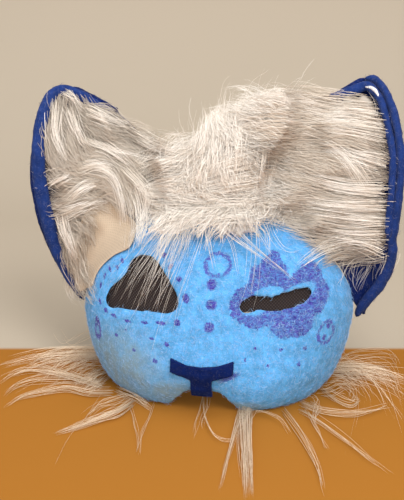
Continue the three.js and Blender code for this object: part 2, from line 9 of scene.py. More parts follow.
import bmesh
import bpy
import numpy as np
from bpy.props import FloatProperty, FloatVectorProperty, IntProperty, PointerProperty
from mathutils import Matrix, Vector
from mathutils.bvhtree import BVHTree


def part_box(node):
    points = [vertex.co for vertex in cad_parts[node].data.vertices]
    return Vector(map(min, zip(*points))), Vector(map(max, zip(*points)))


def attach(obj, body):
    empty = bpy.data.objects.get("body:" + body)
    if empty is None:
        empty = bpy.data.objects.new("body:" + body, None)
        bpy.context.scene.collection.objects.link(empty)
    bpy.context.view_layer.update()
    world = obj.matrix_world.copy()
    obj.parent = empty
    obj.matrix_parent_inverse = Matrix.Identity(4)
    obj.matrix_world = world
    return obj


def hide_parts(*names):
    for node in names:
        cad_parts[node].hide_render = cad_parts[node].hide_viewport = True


bl_info = {
    "name": "Felt cat mask",
    "version": (1, 0, 0),
    "blender": (4, 5, 0),
    "location": "View3D > Sidebar > Cat mask",
    "description": "Dresses a cat mask's solids in felt, woven eye mesh and long fur",
    "category": "Add Mesh",
}

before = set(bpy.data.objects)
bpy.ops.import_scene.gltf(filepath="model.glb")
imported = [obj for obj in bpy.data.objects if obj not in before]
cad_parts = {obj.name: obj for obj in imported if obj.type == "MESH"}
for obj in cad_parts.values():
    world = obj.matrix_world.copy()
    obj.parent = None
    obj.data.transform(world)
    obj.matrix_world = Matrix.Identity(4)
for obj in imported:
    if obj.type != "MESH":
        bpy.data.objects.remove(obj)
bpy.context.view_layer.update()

MM = 0.001

# The photograph's frame in pixels, and the focal length in the same pixels
PHOTO = {"wide": 404, "tall": 500, "focal": 955}

# The seed of each piece's random draws
SEEDS = {
    "ear_fur_left": 11, "ear_fur_right": 12, "crown_fur": 13, "fringe": 14, "cheek_fur_left": 15,
    "cheek_fur_right": 16, "chin_hair": 17, "hem_hairs": 18, "face": 19, "ear_left": 20, "ear_right": 21,
    "nose": 22, "eye_hairs": 23, "ear_locks": 24, "crown_locks": 26, "wisps": 25,
}

# A marker spot on the face, in millimetres from the middle of its lower edge: its middle, half its width and
# height, its turn in degrees and, for a ring, the thickness of its line as a share of its size
Spot = namedtuple("Spot", "x z rx rz turn line", defaults=(0, 0))
# How fur is combed, as three places in the photograph's pixels
Guide = namedtuple("Guide", "root middle tip")
# A lock: its path in the photograph's pixels, its number of hairs, and how far they stand apart at the root
# and at the tip
Lock = namedtuple("Lock", "path hairs spread")
# A lock on the floor, in millimetres from the end of the rim beside a cheek: how far it ends beside it and in
# front of it, how far it bows outwards, and its number of hairs
FloorLock = namedtuple("FloorLock", "beside front bow hairs")
# A place on a hem in the photograph's pixels, and how wide the hem looks there
HemRow = namedtuple("HemRow", "x y wide")

# The marker spots
DOTS = [
    Spot(3.6, 80.0, 3.1, 3.3), Spot(4.2, 68.8, 3.5, 3.0, 10), Spot(3.6, 56.2, 3.2, 3.1),
]
EYE_DASHES = [
    Spot(-69.6, 74.3, 0.9, 1.9, 20), Spot(-72.0, 68.4, 0.8, 1.9, 8), Spot(-71.4, 59.4, 0.9, 1.8, -20),
    Spot(-66.4, 55.4, 1.7, 1.3, 35), Spot(-60.0, 53.6, 2.3, 1.0, 15), Spot(-50.0, 52.9, 2.9, 0.8, 4),
    Spot(-38.0, 53.6, 2.6, 0.9), Spot(-27.4, 55.0, 3.8, 1.0), Spot(-16.6, 57.0, 2.2, 2.0, 20),
    Spot(-12.0, 71.2, 2.3, 3.0, -20), Spot(-17.4, 81.2, 2.0, 1.5, -30), Spot(-23.6, 87.4, 2.2, 1.3, -40),
    Spot(-28.8, 92.8, 1.6, 1.2, -40), Spot(-57.5, 85.6, 1.3, 1.1), Spot(-60.5, 81.4, 1.5, 0.9, 30),
    Spot(-66.4, 79.0, 1.8, 1.0, 40),
]
FRECKLES = [
    Spot(-57.6, 42.4, 1.3, 1.2), Spot(-32.8, 45.4, 1.6, 0.8), Spot(-22.7, 43.6, 1.8, 1.5),
    Spot(-44.5, 36.0, 1.3, 1.0), Spot(-29.8, 32.4, 1.8, 1.2, 30), Spot(-50.8, 47.4, 0.8, 0.6),
    Spot(31.8, 43.4, 1.0, 0.9), Spot(26.0, 36.6, 0.7, 1.2), Spot(47.2, 41.6, 1.3, 0.9),
    Spot(61.4, 40.6, 1.3, 1.2, 30), Spot(40.0, 33.0, 0.8, 0.9), Spot(58.0, 31.4, 1.0, 1.4),
    Spot(72.6, 44.6, 1.2, 1.8, 20), Spot(74.8, 51.0, 1.0, 2.2, -20),
]
OVALS = [
    Spot(-73.0, 46.5, 2.0, 3.6),
]
RINGS = [
    Spot(6.2, 90.4, 7.6, 5.8, 0, 0.2), Spot(73.6, 47.4, 4.4, 6.8, 8, 0.2),
    Spot(-72.8, 40.8, 2.1, 5.4, 0, 0.45),
]
# The patch round the winking eye, the pale margin that it leaves at the slit, and the smear under the nose
PATCH = [
    Spot(43.0, 68.6, 27.0, 14.0), Spot(37.6, 83.0, 12.0, 9.6), Spot(39.6, 90.0, 5.6, 6.8, -20),
    Spot(60.0, 80.0, 9.0, 8.4, -20), Spot(66.6, 68.0, 7.0, 10.4, 25), Spot(52.5, 56.6, 13.6, 9.4, 6),
    Spot(23.8, 68.6, 8.8, 10.6), Spot(30.0, 60.4, 9.6, 5.8, 20),
]
PATCH_MARGIN = [
    Spot(30.5, 67.2, 9.6, 5.2, -10), Spot(38.0, 74.6, 9.0, 3.4, -4), Spot(45.0, 69.4, 10.0, 4.6, -8),
    Spot(56.0, 73.4, 10.4, 4.8, -14),
]
SMEAR = [
    Spot(16.6, 26.0, 7.6, 2.2, -22), Spot(-8.5, 25.2, 4.6, 1.3, 16),
]
# Dust and shed hair, with painted shade, that grey the face towards its lower left and along its lower edge
DUST_AND_SHADE = [
    Spot(-54.0, 20.0, 42.0, 40.0), Spot(-20.0, 12.0, 24.0, 16.0), Spot(26.0, 5.0, 20.0, 5.0),
]

# How the fur of each ear and of the crown is combed, and the outline that its roots fill
LEFT_EAR_GUIDES = [
    Guide((60, 100), (66, 124), (84, 146)), Guide((78, 106), (94, 122), (120, 130)),
    Guide((100, 120), (122, 126), (146, 146)), Guide((120, 128), (142, 138), (170, 152)),
    Guide((50, 124), (56, 150), (72, 174)), Guide((74, 134), (82, 156), (104, 166)),
    Guide((98, 142), (122, 152), (150, 162)), Guide((50, 156), (62, 172), (84, 176)),
    Guide((70, 170), (98, 166), (120, 184)), Guide((100, 164), (120, 180), (124, 214)),
    Guide((122, 166), (140, 184), (140, 222)), Guide((54, 188), (72, 184), (96, 190)),
    Guide((72, 196), (94, 190), (112, 206)), Guide((60, 216), (74, 212), (92, 204)),
    Guide((64, 232), (70, 250), (78, 272)), Guide((72, 226), (80, 238), (80, 260)),
    Guide((70, 256), (76, 270), (86, 286)),
]
LEFT_EAR_ROOTS = [
    (56, 94), (76, 98), (110, 118), (138, 130), (148, 160), (136, 176), (108, 180), (84, 202), (76, 226),
    (75, 256), (82, 284), (74, 272), (60, 240), (50, 200), (46, 160), (48, 120),
]
RIGHT_EAR_GUIDES = [
    Guide((374, 113), (340, 111), (292, 116)), Guide((350, 110), (310, 106), (262, 100)),
    Guide((320, 110), (290, 102), (246, 112)), Guide((382, 132), (344, 124), (290, 130)),
    Guide((340, 126), (298, 124), (250, 130)), Guide((384, 160), (350, 146), (306, 142)),
    Guide((352, 148), (310, 142), (262, 146)), Guide((386, 186), (350, 178), (304, 168)),
    Guide((340, 182), (304, 174), (264, 156)), Guide((385, 210), (344, 204), (292, 198)),
    Guide((336, 204), (304, 200), (272, 192)), Guide((384, 230), (346, 226), (298, 212)),
    Guide((340, 226), (310, 221), (280, 206)), Guide((380, 250), (350, 240), (320, 246)),
    Guide((356, 242), (336, 243), (314, 252)), Guide((376, 254), (360, 262), (346, 276)),
]
RIGHT_EAR_ROOTS = [
    (318, 107), (350, 102), (366, 98), (379, 104), (386, 130), (389, 160), (389, 200), (387, 230),
    (383, 258), (360, 254), (336, 238), (308, 214), (296, 196), (294, 160), (296, 130), (300, 110),
]
CROWN_GUIDES = [
    Guide((146, 172), (158, 160), (190, 160)), Guide((146, 196), (174, 197), (208, 197)),
    Guide((172, 178), (188, 166), (212, 150)), Guide((166, 208), (156, 216), (140, 236)),
    Guide((196, 190), (200, 168), (206, 136)), Guide((196, 208), (178, 214), (164, 238)),
    Guide((216, 186), (220, 158), (226, 122)), Guide((236, 176), (238, 146), (242, 112)),
    Guide((258, 130), (246, 120), (228, 122)), Guide((284, 122), (266, 116), (242, 122)),
    Guide((262, 156), (248, 150), (230, 150)), Guide((286, 146), (268, 142), (244, 148)),
    Guide((286, 172), (270, 166), (248, 162)), Guide((286, 196), (270, 192), (250, 196)),
    Guide((222, 208), (208, 214), (196, 234)), Guide((248, 208), (250, 215), (256, 229)),
    Guide((268, 206), (256, 206), (240, 216)), Guide((276, 216), (278, 221), (279, 229)),
]
CROWN_ROOTS = [
    (136, 170), (150, 158), (176, 162), (206, 156), (232, 132), (262, 112), (300, 104), (300, 190),
    (284, 212), (250, 219), (226, 218), (200, 216), (176, 213), (150, 210), (134, 190),
]

# Locks that fall over the forehead and the eyes
FRINGE = [
    Lock([(112, 176), (122, 200), (124, 228), (124, 252)], 10, (3, 1.5)),
    Lock([(106, 172), (118, 186), (123, 214), (122, 244)], 10, (3, 1.5)),
    Lock([(118, 172), (128, 196), (130, 232), (124, 268)], 7, (4, 1.5)),
    Lock([(126, 172), (142, 194), (140, 222), (130, 248)], 7, (3, 2)),
    Lock([(140, 176), (147, 198), (140, 236), (126, 266)], 7, (3, 2)),
    Lock([(206, 198), (168, 206), (146, 224), (138, 246)], 14, (4, 1.5)),
    Lock([(196, 200), (164, 210), (148, 232), (132, 270)], 10, (4, 2)),
    Lock([(240, 192), (192, 206), (166, 230), (158, 276)], 23, (5, 2)),
    Lock([(240, 196), (200, 208), (174, 228), (160, 268)], 16, (4, 2)),
    Lock([(226, 198), (186, 212), (164, 238), (146, 300)], 12, (5, 3)),
    Lock([(216, 202), (182, 216), (160, 250), (138, 306)], 9, (5, 5)),
    Lock([(210, 204), (180, 222), (152, 264), (122, 308)], 6, (4, 5)),
    Lock([(204, 206), (184, 226), (164, 262), (152, 330)], 6, (4, 6)),
    Lock([(204, 206), (188, 226), (178, 262), (170, 300)], 6, (6, 8)),
    Lock([(200, 206), (188, 222), (184, 244), (176, 270)], 9, (5, 4)),
    Lock([(206, 206), (196, 222), (190, 240), (186, 270)], 4, (4, 3)),
    Lock([(208, 176), (205, 200), (205, 226), (213, 268)], 6, (2, 1)),
    Lock([(210, 206), (206, 226), (210, 250), (218, 294)], 4, (3, 1)),
    Lock([(222, 204), (214, 220), (206, 240), (198, 262)], 4, (3, 2)),
    Lock([(218, 206), (224, 226), (236, 252), (244, 292)], 3, (3, 1.5)),
    Lock([(214, 206), (226, 230), (254, 252), (284, 272)], 11, (4, 1)),
    Lock([(224, 214), (248, 240), (286, 272), (322, 300)], 4, (3, 1)),
    Lock([(240, 212), (252, 228), (266, 248), (276, 262)], 4, (3, 1)),
    Lock([(248, 212), (260, 226), (268, 242), (258, 300)], 7, (3, 1)),
    Lock([(252, 212), (266, 232), (268, 258), (272, 304)], 3, (3, 1)),
    Lock([(268, 222), (274, 238), (288, 252), (306, 250)], 3, (2, 1)),
    Lock([(236, 208), (228, 224), (220, 240), (212, 254)], 4, (4, 3)),
    Lock([(356, 246), (332, 246), (310, 256), (288, 276)], 6, (5, 3)),
    Lock([(360, 252), (338, 252), (318, 260), (300, 282)], 4, (5, 3)),
    Lock([(368, 256), (352, 262), (342, 276), (340, 296)], 3, (4, 3)),
]
# Fine hairs over the open eye
EYE_HAIRS = [
    Lock([(192, 206), (172, 236), (142, 284), (120, 324)], 18, (9, 11)),
    Lock([(200, 206), (186, 240), (166, 290), (150, 334)], 18, (9, 12)),
    Lock([(180, 210), (160, 236), (130, 270), (112, 304)], 12, (8, 9)),
    Lock([(252, 214), (256, 240), (254, 280), (246, 318)], 8, (4, 7)),
]
# Locks that lie over the coats of the ears and the crown
EAR_LOCKS = [
    Lock([(64, 92), (71, 96), (77, 102), (84, 114)], 22, (2.5, 1.5)),
    Lock([(57, 108), (56, 132), (62, 152), (71, 168)], 34, (4, 2)),
    Lock([(70, 112), (76, 128), (84, 142), (96, 150)], 30, (4, 2)),
    Lock([(90, 112), (104, 118), (120, 124), (134, 129)], 40, (4, 2)),
    Lock([(84, 140), (109, 149), (150, 158), (188, 165)], 18, (3, 2)),
    Lock([(101, 146), (112, 152), (124, 162), (136, 174)], 36, (4, 2)),
    Lock([(79, 168), (97, 163), (116, 173), (122, 200)], 50, (4, 2)),
    Lock([(90, 168), (112, 176), (122, 204), (124, 250)], 40, (4, 1.5)),
    Lock([(128, 170), (148, 194), (142, 220), (130, 246)], 40, (4, 1.5)),
    Lock([(136, 190), (141, 210), (140, 232), (134, 254)], 30, (4, 2)),
    Lock([(52, 184), (62, 178), (70, 175), (80, 176)], 26, (4, 3)),
    Lock([(70, 198), (82, 188), (97, 184), (116, 197)], 50, (4, 2)),
    Lock([(64, 214), (78, 208), (94, 203), (112, 200)], 34, (4, 2)),
    Lock([(62, 220), (66, 236), (72, 252), (84, 282)], 40, (4, 2)),
    Lock([(52, 128), (56, 142), (64, 158), (76, 166)], 26, (4, 2)),
    Lock([(372, 116), (346, 112), (314, 116), (262, 130)], 60, (5, 2)),
    Lock([(380, 132), (345, 126), (310, 126), (266, 134)], 60, (5, 2)),
    Lock([(365, 184), (346, 158), (318, 144), (266, 146)], 60, (5, 2)),
    Lock([(381, 164), (360, 158), (334, 152), (280, 144)], 56, (5, 2)),
    Lock([(381, 190), (350, 188), (308, 178), (264, 156)], 56, (5, 2)),
    Lock([(381, 207), (345, 206), (306, 202), (276, 194)], 44, (5, 2)),
    Lock([(381, 221), (350, 219), (312, 214), (276, 206)], 44, (5, 2)),
    Lock([(379, 234), (352, 234), (326, 230), (298, 220)], 44, (5, 2)),
    Lock([(379, 250), (355, 241), (326, 246), (296, 268)], 26, (5, 2.5)),
    Lock([(318, 112), (292, 100), (269, 97), (240, 114)], 60, (5, 3)),
    Lock([(336, 112), (310, 106), (284, 104), (252, 112)], 44, (5, 4)),
    Lock([(326, 132), (296, 120), (268, 118), (240, 134)], 44, (6, 4)),
]
CROWN_LOCKS = [
    Lock([(137, 138), (152, 146), (172, 152), (196, 158)], 40, (4, 3)),
    Lock([(145, 168), (160, 162), (177, 161), (198, 166)], 46, (4, 2.5)),
    Lock([(143, 190), (172, 195), (206, 200), (242, 194)], 90, (4, 3)),
    Lock([(262, 178), (230, 184), (200, 188), (168, 184)], 70, (6, 4)),
    Lock([(276, 208), (240, 204), (204, 208), (172, 220)], 70, (6, 3)),
    Lock([(268, 216), (244, 216), (220, 220), (196, 232)], 60, (5, 3)),
    Lock([(250, 160), (226, 166), (200, 176), (180, 196)], 60, (7, 4)),
    Lock([(264, 152), (262, 172), (260, 192), (262, 214)], 26, (3, 3)),
    Lock([(274, 160), (270, 180), (268, 200), (272, 220)], 26, (3, 3)),
]
# Wisps that stand up over the crown and between the ears
WISPS = [
    Lock([(262, 124), (264, 106), (268, 90), (280, 76)], 18, (10, 7)),
    Lock([(290, 108), (296, 98), (304, 88), (318, 82)], 14, (10, 7)),
    Lock([(236, 140), (234, 120), (236, 100), (246, 84)], 26, (9, 8)),
    Lock([(214, 156), (210, 138), (206, 124), (208, 108)], 26, (9, 8)),
    Lock([(190, 162), (188, 150), (182, 138), (180, 126)], 14, (8, 7)),
    Lock([(300, 112), (288, 96), (270, 90), (244, 104)], 16, (6, 5)),
    Lock([(126, 132), (146, 142), (166, 150), (188, 156)], 22, (4, 5)),
    Lock([(140, 168), (158, 160), (176, 162), (200, 168)], 26, (3, 3)),
    Lock([(160, 176), (176, 170), (200, 158), (216, 140)], 14, (6, 7)),
    Lock([(262, 196), (262, 180), (260, 164), (264, 148)], 16, (3, 3)),
    Lock([(304, 132), (290, 126), (276, 126), (262, 134)], 16, (5, 4)),
]

# Hairs that cross the felt hems
HEM_LOCKS = [
    Lock([(76, 116), (74, 100), (66, 89), (50, 94)], 16, (3, 1.5)),
    Lock([(66, 130), (58, 112), (50, 100), (44, 100)], 12, (3, 3)),
    Lock([(60, 148), (52, 132), (44, 116), (38, 112)], 16, (4, 3)),
    Lock([(62, 160), (52, 144), (42, 134), (34, 122)], 10, (3, 3)),
    Lock([(60, 176), (50, 168), (40, 160), (30, 154)], 6, (3, 4)),
    Lock([(62, 196), (52, 188), (42, 190), (34, 188)], 8, (3, 2)),
    Lock([(60, 170), (52, 178), (44, 176), (34, 170)], 7, (5, 6)),
    Lock([(66, 228), (56, 218), (48, 212), (40, 206)], 7, (3, 3)),
    Lock([(70, 250), (62, 244), (54, 238), (46, 236)], 5, (3, 3)),
    Lock([(374, 126), (380, 112), (376, 102), (366, 92)], 5, (2, 2)),
    Lock([(376, 210), (388, 214), (396, 222), (402, 220)], 8, (3, 3)),
    Lock([(378, 176), (388, 180), (396, 186), (402, 196)], 7, (3, 4)),
    Lock([(376, 148), (386, 150), (394, 158), (400, 160)], 7, (4, 5)),
    Lock([(370, 262), (364, 270), (360, 280), (354, 290)], 12, (7, 6)),
    Lock([(378, 256), (376, 266), (372, 274), (370, 284)], 12, (7, 6)),
    Lock([(352, 260), (350, 268), (352, 276), (356, 282)], 8, (6, 6)),
]

# The hems' middle lines, from the lower tip of each ear to the blunt end beside the fur
LEFT_HEM = [
    HemRow(84, 300, 8), HemRow(71, 277, 13), HemRow(58, 251, 14), HemRow(48, 221, 15), HemRow(41, 190, 15),
    HemRow(38, 162, 14), HemRow(39, 135, 13), HemRow(45, 110, 13), HemRow(53, 94, 12), HemRow(66, 90, 11),
    HemRow(80, 96, 12), HemRow(93, 104, 12), HemRow(106, 112, 12), HemRow(113, 115, 10),
]
RIGHT_OUTER_HEM = [
    HemRow(356, 317, 4), HemRow(359, 311, 8), HemRow(367, 300, 11), HemRow(380, 284, 12),
    HemRow(389, 267, 11), HemRow(393, 250, 9), HemRow(392, 238, 10), HemRow(396, 216, 9),
    HemRow(399, 195, 8), HemRow(401, 170, 8), HemRow(400, 145, 8), HemRow(396, 122, 8), HemRow(391, 104, 8),
    HemRow(383, 88, 8), HemRow(374, 79, 7), HemRow(364, 79, 6),
]
RIGHT_INNER_HEM = [
    HemRow(388, 240, 6), HemRow(389, 226, 9), HemRow(391, 206, 9), HemRow(393, 185, 9), HemRow(394, 160, 9),
    HemRow(391, 136, 9), HemRow(386, 114, 9), HemRow(379, 97, 9), HemRow(368, 86, 10), HemRow(355, 90, 11),
    HemRow(340, 96, 11), HemRow(328, 97, 11),
]
# The white sliver between the right ear's two hems
SLIVER = [
    HemRow(365, 87, 1.5), HemRow(372, 88, 4), HemRow(377, 93, 3.5), HemRow(381, 104, 2.5),
    HemRow(386, 117, 1),
]
# How far it stands over the ear, how thick it is, and its colour
SLIVER_LIFT = 5.6 * MM
SLIVER_THICK = 2.4 * MM
WHITE_FELT = (0.85, 0.85, 0.86)
# The bare backing of the left ear's fur, between the fur and the face
BARE_BACKING = {
    "outer": [(100, 192), (84, 216), (74, 246), (72, 270), (82, 290)],
    "inner": [(139, 224), (131, 246), (113, 256), (99, 270), (92, 286)],
}

# Locks that fan out round the mask's foot
LEFT_CHEEK_LOCKS = [
    FloorLock(9, 112, 10, 5), FloorLock(29, 94, 6, 8), FloorLock(48, 74, 2, 10), FloorLock(65, 49, 0, 16),
    FloorLock(74, 28, 0, 20), FloorLock(66, 9, 0, 18), FloorLock(48, -8, 0, 14),
]
RIGHT_CHEEK_LOCKS = [
    FloorLock(11, 120, 10, 5), FloorLock(30, 101, 6, 8), FloorLock(42, 71, 2, 10), FloorLock(54, 44, 0, 16),
    FloorLock(62, 21, 0, 20), FloorLock(58, 0, 0, 18), FloorLock(42, -14, 0, 14),
]
# Single strands there, along the surface that the mask stands on
LEFT_FOOT_LOCKS = [
    Lock([(100, 389), (82, 385), (60, 379), (32, 374), (15, 376), (-2, 386)], 16, (1.6, 0.7)),
    Lock([(98, 384), (62, 384), (37, 384), (15, 390), (-2, 401)], 12, (1.6, 0.7)),
    Lock([(112, 396), (87, 397), (67, 392), (42, 396), (20, 400), (-2, 412)], 16, (1.8, 0.6)),
    Lock([(102, 388), (75, 381), (50, 371), (26, 365)], 12, (1.8, 0.8)),
    Lock([(98, 357), (78, 353), (60, 355), (44, 360), (24, 368)], 12, (1.8, 0.7)),
    Lock([(100, 360), (84, 358), (66, 364), (48, 366), (28, 348)], 7, (2.4, 1.6)),
    Lock([(102, 366), (88, 366), (72, 372), (56, 376)], 30, (6, 5)),
    Lock([(104, 374), (92, 380), (84, 384), (70, 380)], 30, (5, 5)),
    Lock([(104, 380), (98, 386), (90, 390), (80, 392)], 22, (5, 4)),
    Lock([(133, 405), (118, 417), (95, 424), (51, 437)], 34, (2.2, 0.6)),
    Lock([(128, 402), (112, 408), (98, 412), (84, 422)], 12, (2.2, 1.4)),
    Lock([(118, 394), (130, 400), (142, 405), (153, 412)], 16, (1.6, 0.6)),
    Lock([(103, 396), (85, 425), (67, 447), (42, 487)], 1, (0.5, 0.5)),
    Lock([(130, 410), (134, 424), (137, 440), (137, 462)], 3, (1.2, 0.8)),
    Lock([(153, 408), (148, 424), (141, 440), (137, 458)], 3, (1.2, 0.8)),
    Lock([(90, 336), (82, 341), (68, 347), (60, 334)], 5, (2, 2)),
]
RIGHT_FOOT_LOCKS = [
    Lock([(340, 366), (352, 360), (376, 356), (394, 360), (401, 382)], 7, (3, 1.4)),
    Lock([(336, 372), (352, 368), (378, 370), (394, 382), (403, 414)], 8, (3, 1.4)),
    Lock([(332, 376), (354, 374), (376, 374), (398, 378)], 8, (4, 3)),
    Lock([(338, 362), (356, 366), (376, 368), (400, 366)], 8, (4, 4)),
    Lock([(334, 370), (344, 372), (352, 380), (366, 392)], 24, (6, 5)),
    Lock([(330, 380), (342, 380), (352, 384), (360, 380)], 26, (6, 5)),
    Lock([(322, 392), (334, 403), (350, 410), (357, 404), (354, 397)], 9, (2, 0.8)),
    Lock([(318, 396), (330, 396), (342, 390), (352, 396), (348, 404)], 9, (3, 2)),
    Lock([(300, 408), (322, 417), (352, 419), (374, 414), (391, 407)], 13, (1.6, 0.6)),
    Lock([(310, 402), (318, 410), (314, 420), (318, 432)], 8, (2, 1)),
    Lock([(300, 413), (328, 432), (362, 457), (395, 476)], 9, (1.8, 0.9)),
    Lock([(284, 414), (303, 443), (316, 467), (325, 499)], 9, (1.4, 0.7)),
    Lock([(306, 414), (314, 430), (322, 444), (332, 458)], 4, (1.6, 1)),
]
CHIN_LOCKS = [
    Lock([(248, 402), (246, 422), (247, 458), (248, 502)], 44, (3.4, 1.8)),
    Lock([(245, 404), (238, 426), (229, 456), (217, 498)], 14, (2.4, 0.8)),
    Lock([(250, 404), (250, 430), (251, 466), (252, 504)], 16, (2.2, 0.7)),
    Lock([(243, 408), (238, 428), (238, 454), (240, 480)], 6, (2, 0.8)),
    Lock([(252, 404), (250, 414), (244, 424), (236, 442)], 12, (2.4, 1.4)),
    Lock([(203, 398), (205, 420), (213, 438), (224, 443), (238, 440)], 6, (1.2, 0.6)),
    Lock([(203, 402), (200, 416), (196, 428), (192, 444)], 4, (2, 1)),
    Lock([(208, 400), (207, 412), (203, 424), (203, 436)], 3, (2, 1)),
    Lock([(253, 418), (266, 420), (282, 427), (294, 441)], 5, (2, 1)),
]

# The level in the photograph, in pixels, above which the crown's fur stands over the face's top edge
CROWN_LEVEL = 186
# How each coat's tone changes across and down the photograph, and where it is darkest: a painted shade in the
# hollow between an ear and the crown, all in pixels
TONES = {
    "ear_fur_left": {
        "across": ((50, 150), (1, 1)),
        "down": ((120, 170, 200, 235), (0.86, 1, 1, 0.87)),
        "hollow": (148, 160),
    },
    "ear_fur_right": {
        "across": ((292, 340), (1.24, 1.04)),
        "down": ((150, 235), (1, 0.88)),
        "hollow": (296, 162),
    },
    "crown_fur": {"across": ((236, 292), (1, 0.9)), "down": ((0, 500), (1, 1)), "hollow": (280, 162)},
}
# How far the hollows' painted shade reaches in pixels, and how much it darkens the fur
HOLLOW_REACH = (17, 10)
HOLLOW_SHADE = 0.55
# How far a coat's locks follow their guide, how far their tips and their middles stray from it in pixels,
# and the shortest hair as a share of its lock
LOCK_REACH = (0.7, 1.15)
TIP_WANDER = 6.0
BOW_WANDER = 4.0
SHORTEST_HAIR = 0.6
# How each kind of coat is clumped: its hairs a lock, how far they stand apart at the root and at the tip and
# how much they curl, in pixels, and how far back its upper locks may stand
EAR_COAT = {"per_lock": 24, "spread": (4.4, 2.4, 2.2), "back": 0}
CROWN_COAT = {"per_lock": 12, "spread": (5.0, 3.4, 3.0), "back": 22 * MM}

# The solids that the fur lies over, as seen from the front
FRONT_NODES = ("face", "ear_left", "ear_right", "nose", "ear_fur_left", "ear_fur_right", "crown_fur")

# How fine the felt's fibres are, the sizes of its two scales of lumps, and how far loose hair stays off the
# floor
FIBRE_SCALE = 900
BROAD_LUMPS = 14 * MM
FINE_LUMPS = 3.2 * MM
FLOOR_CLEARANCE = 0.2 * MM
# How far a coat's hairs, single locks and felt fibres stay off what they lie on
COAT_CLEARANCE = 0.4 * MM
LOCK_CLEARANCE = 0.5 * MM
FIBRE_CLEARANCE = 0.06 * MM
# Where the fur round the foot starts: inside the face's side, behind its rear edge and above the floor
RIM_END = (9 * MM, 3 * MM, 6 * MM)
# How far apart the hairs of its locks stand at the root and at the tip, and how much they curl
FLOOR_SPREAD = (3.4 * MM, 4.2 * MM, 1.6 * MM)
# The two scales of lumps on a hem, as size and strength
HEM_LUMPS = ((9 * MM, 1.4 * MM), (3 * MM, 0.5 * MM))
# How far below the face's top edge the crown's underlayer ends
BROW_DROP = 12 * MM

# The lamps: where each stands in metres, its size and its power
LAMPS = {
    "key": {"place": (0.5, -0.75, 1.0), "size": 0.6, "power": 11},
    "fill": {"place": (-0.9, -0.8, 0.5), "size": 1.0, "power": 4},
    "front": {"place": (0.15, -1.3, 0.4), "size": 1.0, "power": 7},
    "top": {"place": (0.0, 0.1, 1.1), "size": 0.9, "power": 5},
}
LAMPS_AIM = (0, 0, 0.1)
LAMPLIGHT = (1.0, 0.97, 0.93)
SKY_STRENGTH = 0.5


def tint(name, description, default):
    """A colour that a user may change."""
    return FloatVectorProperty(name=name, description=description, subtype="COLOR", size=3, default=default)


def length(name, description, default):
    """A length in metres that a user may change."""
    return FloatProperty(name=name, description=description, unit="LENGTH", default=default)


class MaskColours(bpy.types.PropertyGroup):
    """Colours of the mask's felts, ink, meshes and fur, and of its stage."""

    felt: tint("Face felt", "Light blue felt of the face", (0.105, 0.405, 0.83))
    # The ears' felt: deep blue, darkened further than the hems' felt as painted shade of the ears' hollows
    navy_and_shade: tint("Ear felt", "Deep blue felt of the ears", (0.004, 0.015, 0.105))
    hem: tint("Hem felt", "Paler felt of the hems", (0.014, 0.04, 0.19))
    nose: tint("Nose felt", "Felt of the nose", (0.002, 0.012, 0.095))
    ink: tint("Marker ink", "Violet marker ink", (0.045, 0.028, 0.33))
    # Dust and shed hair on the felt, mixed with painted shade on the face's lower left
    dust_and_shade: tint("Dust and shade", "Shed hair and dust on the felt", (0.21, 0.31, 0.36))
    mesh: tint("Eye mesh", "Black woven mesh", (0.012, 0.009, 0.009))
    fur: tint("Fur tips", "Warm white fur", (0.92, 0.88, 0.83))
    fur_root: tint("Fur roots", "Shaded fur near its backing", (0.88, 0.82, 0.74))
    # Fur in the ears: the white fur darkened as painted shade inside the ears
    shaded_ear_tip: tint("Ear fur tips", "Fur in the ears", (0.68, 0.615, 0.54))
    shaded_ear_root: tint("Ear fur roots", "Its shaded roots", (0.55, 0.475, 0.4))
    foot_tip: tint("Foot fur tips", "Fur round the foot", (0.88, 0.73, 0.56))
    foot_root: tint("Foot fur roots", "Its shaded roots", (0.62, 0.5, 0.37))
    backing: tint("Fur backing", "Cream cloth behind the fur", (0.56, 0.46, 0.355))
    floor: tint("Floor", "Warm floor of the stage", (0.37, 0.15, 0.022))
    backdrop: tint("Backdrop", "Pale backdrop of the stage", (0.5, 0.44, 0.36))


class MaskSizes(bpy.types.PropertyGroup):
    """How fine the felt and the fur are."""

    felt_grain: length("Felt grain", "Edge of the faces that the felt is made of", 0.0014)
    lump: length("Lumps", "How far the felt's soft lumps stand out", 0.0016)
    hair: length("Hair", "Width of a hair near its root", 0.00026)
    fuzz: length("Fuzz", "Width of a felt fibre", 0.00011)
    coat: IntProperty(name="Coat", description="Hairs in the coat of one ear", default=9800, min=1)
    crown: IntProperty(name="Crown", description="Hairs in the crown's coat", default=12600, min=1)


class MaskView(bpy.types.PropertyGroup):
    """Where the camera stands."""

    azimuth: FloatProperty(name="Azimuth", description="Camera's turn to the right", default=9.0)
    elevation: FloatProperty(name="Elevation", description="Camera's height as an angle", default=17.0)
    distance: length("Distance", "Camera's distance", 0.615)
    target: FloatVectorProperty(
        name="Target", description="Point that the camera looks at", size=3, default=(-0.0023, 0.0369, 0.091)
    )


def colours():
    return bpy.context.scene.mask_colours


def sizes():
    return bpy.context.scene.mask_sizes


def select_only(piece):
    """Selects one object and makes it the active one."""
    bpy.ops.object.select_all(action="DESELECT")
    piece.select_set(True)
    bpy.context.view_layer.objects.active = piece


def merged_copy(node, name):
    """A copy of a CAD node with its loose triangles merged, ready to be worked on."""
    piece = bpy.data.objects.new(name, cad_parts[node].data.copy())
    bpy.context.scene.collection.objects.link(piece)
    piece.data.materials.clear()
    select_only(piece)
    bpy.ops.object.mode_set(mode="EDIT")
    bpy.ops.mesh.select_all(action="SELECT")
    bpy.ops.mesh.remove_doubles(threshold=1e-5)
    bpy.ops.object.mode_set(mode="OBJECT")
    return piece


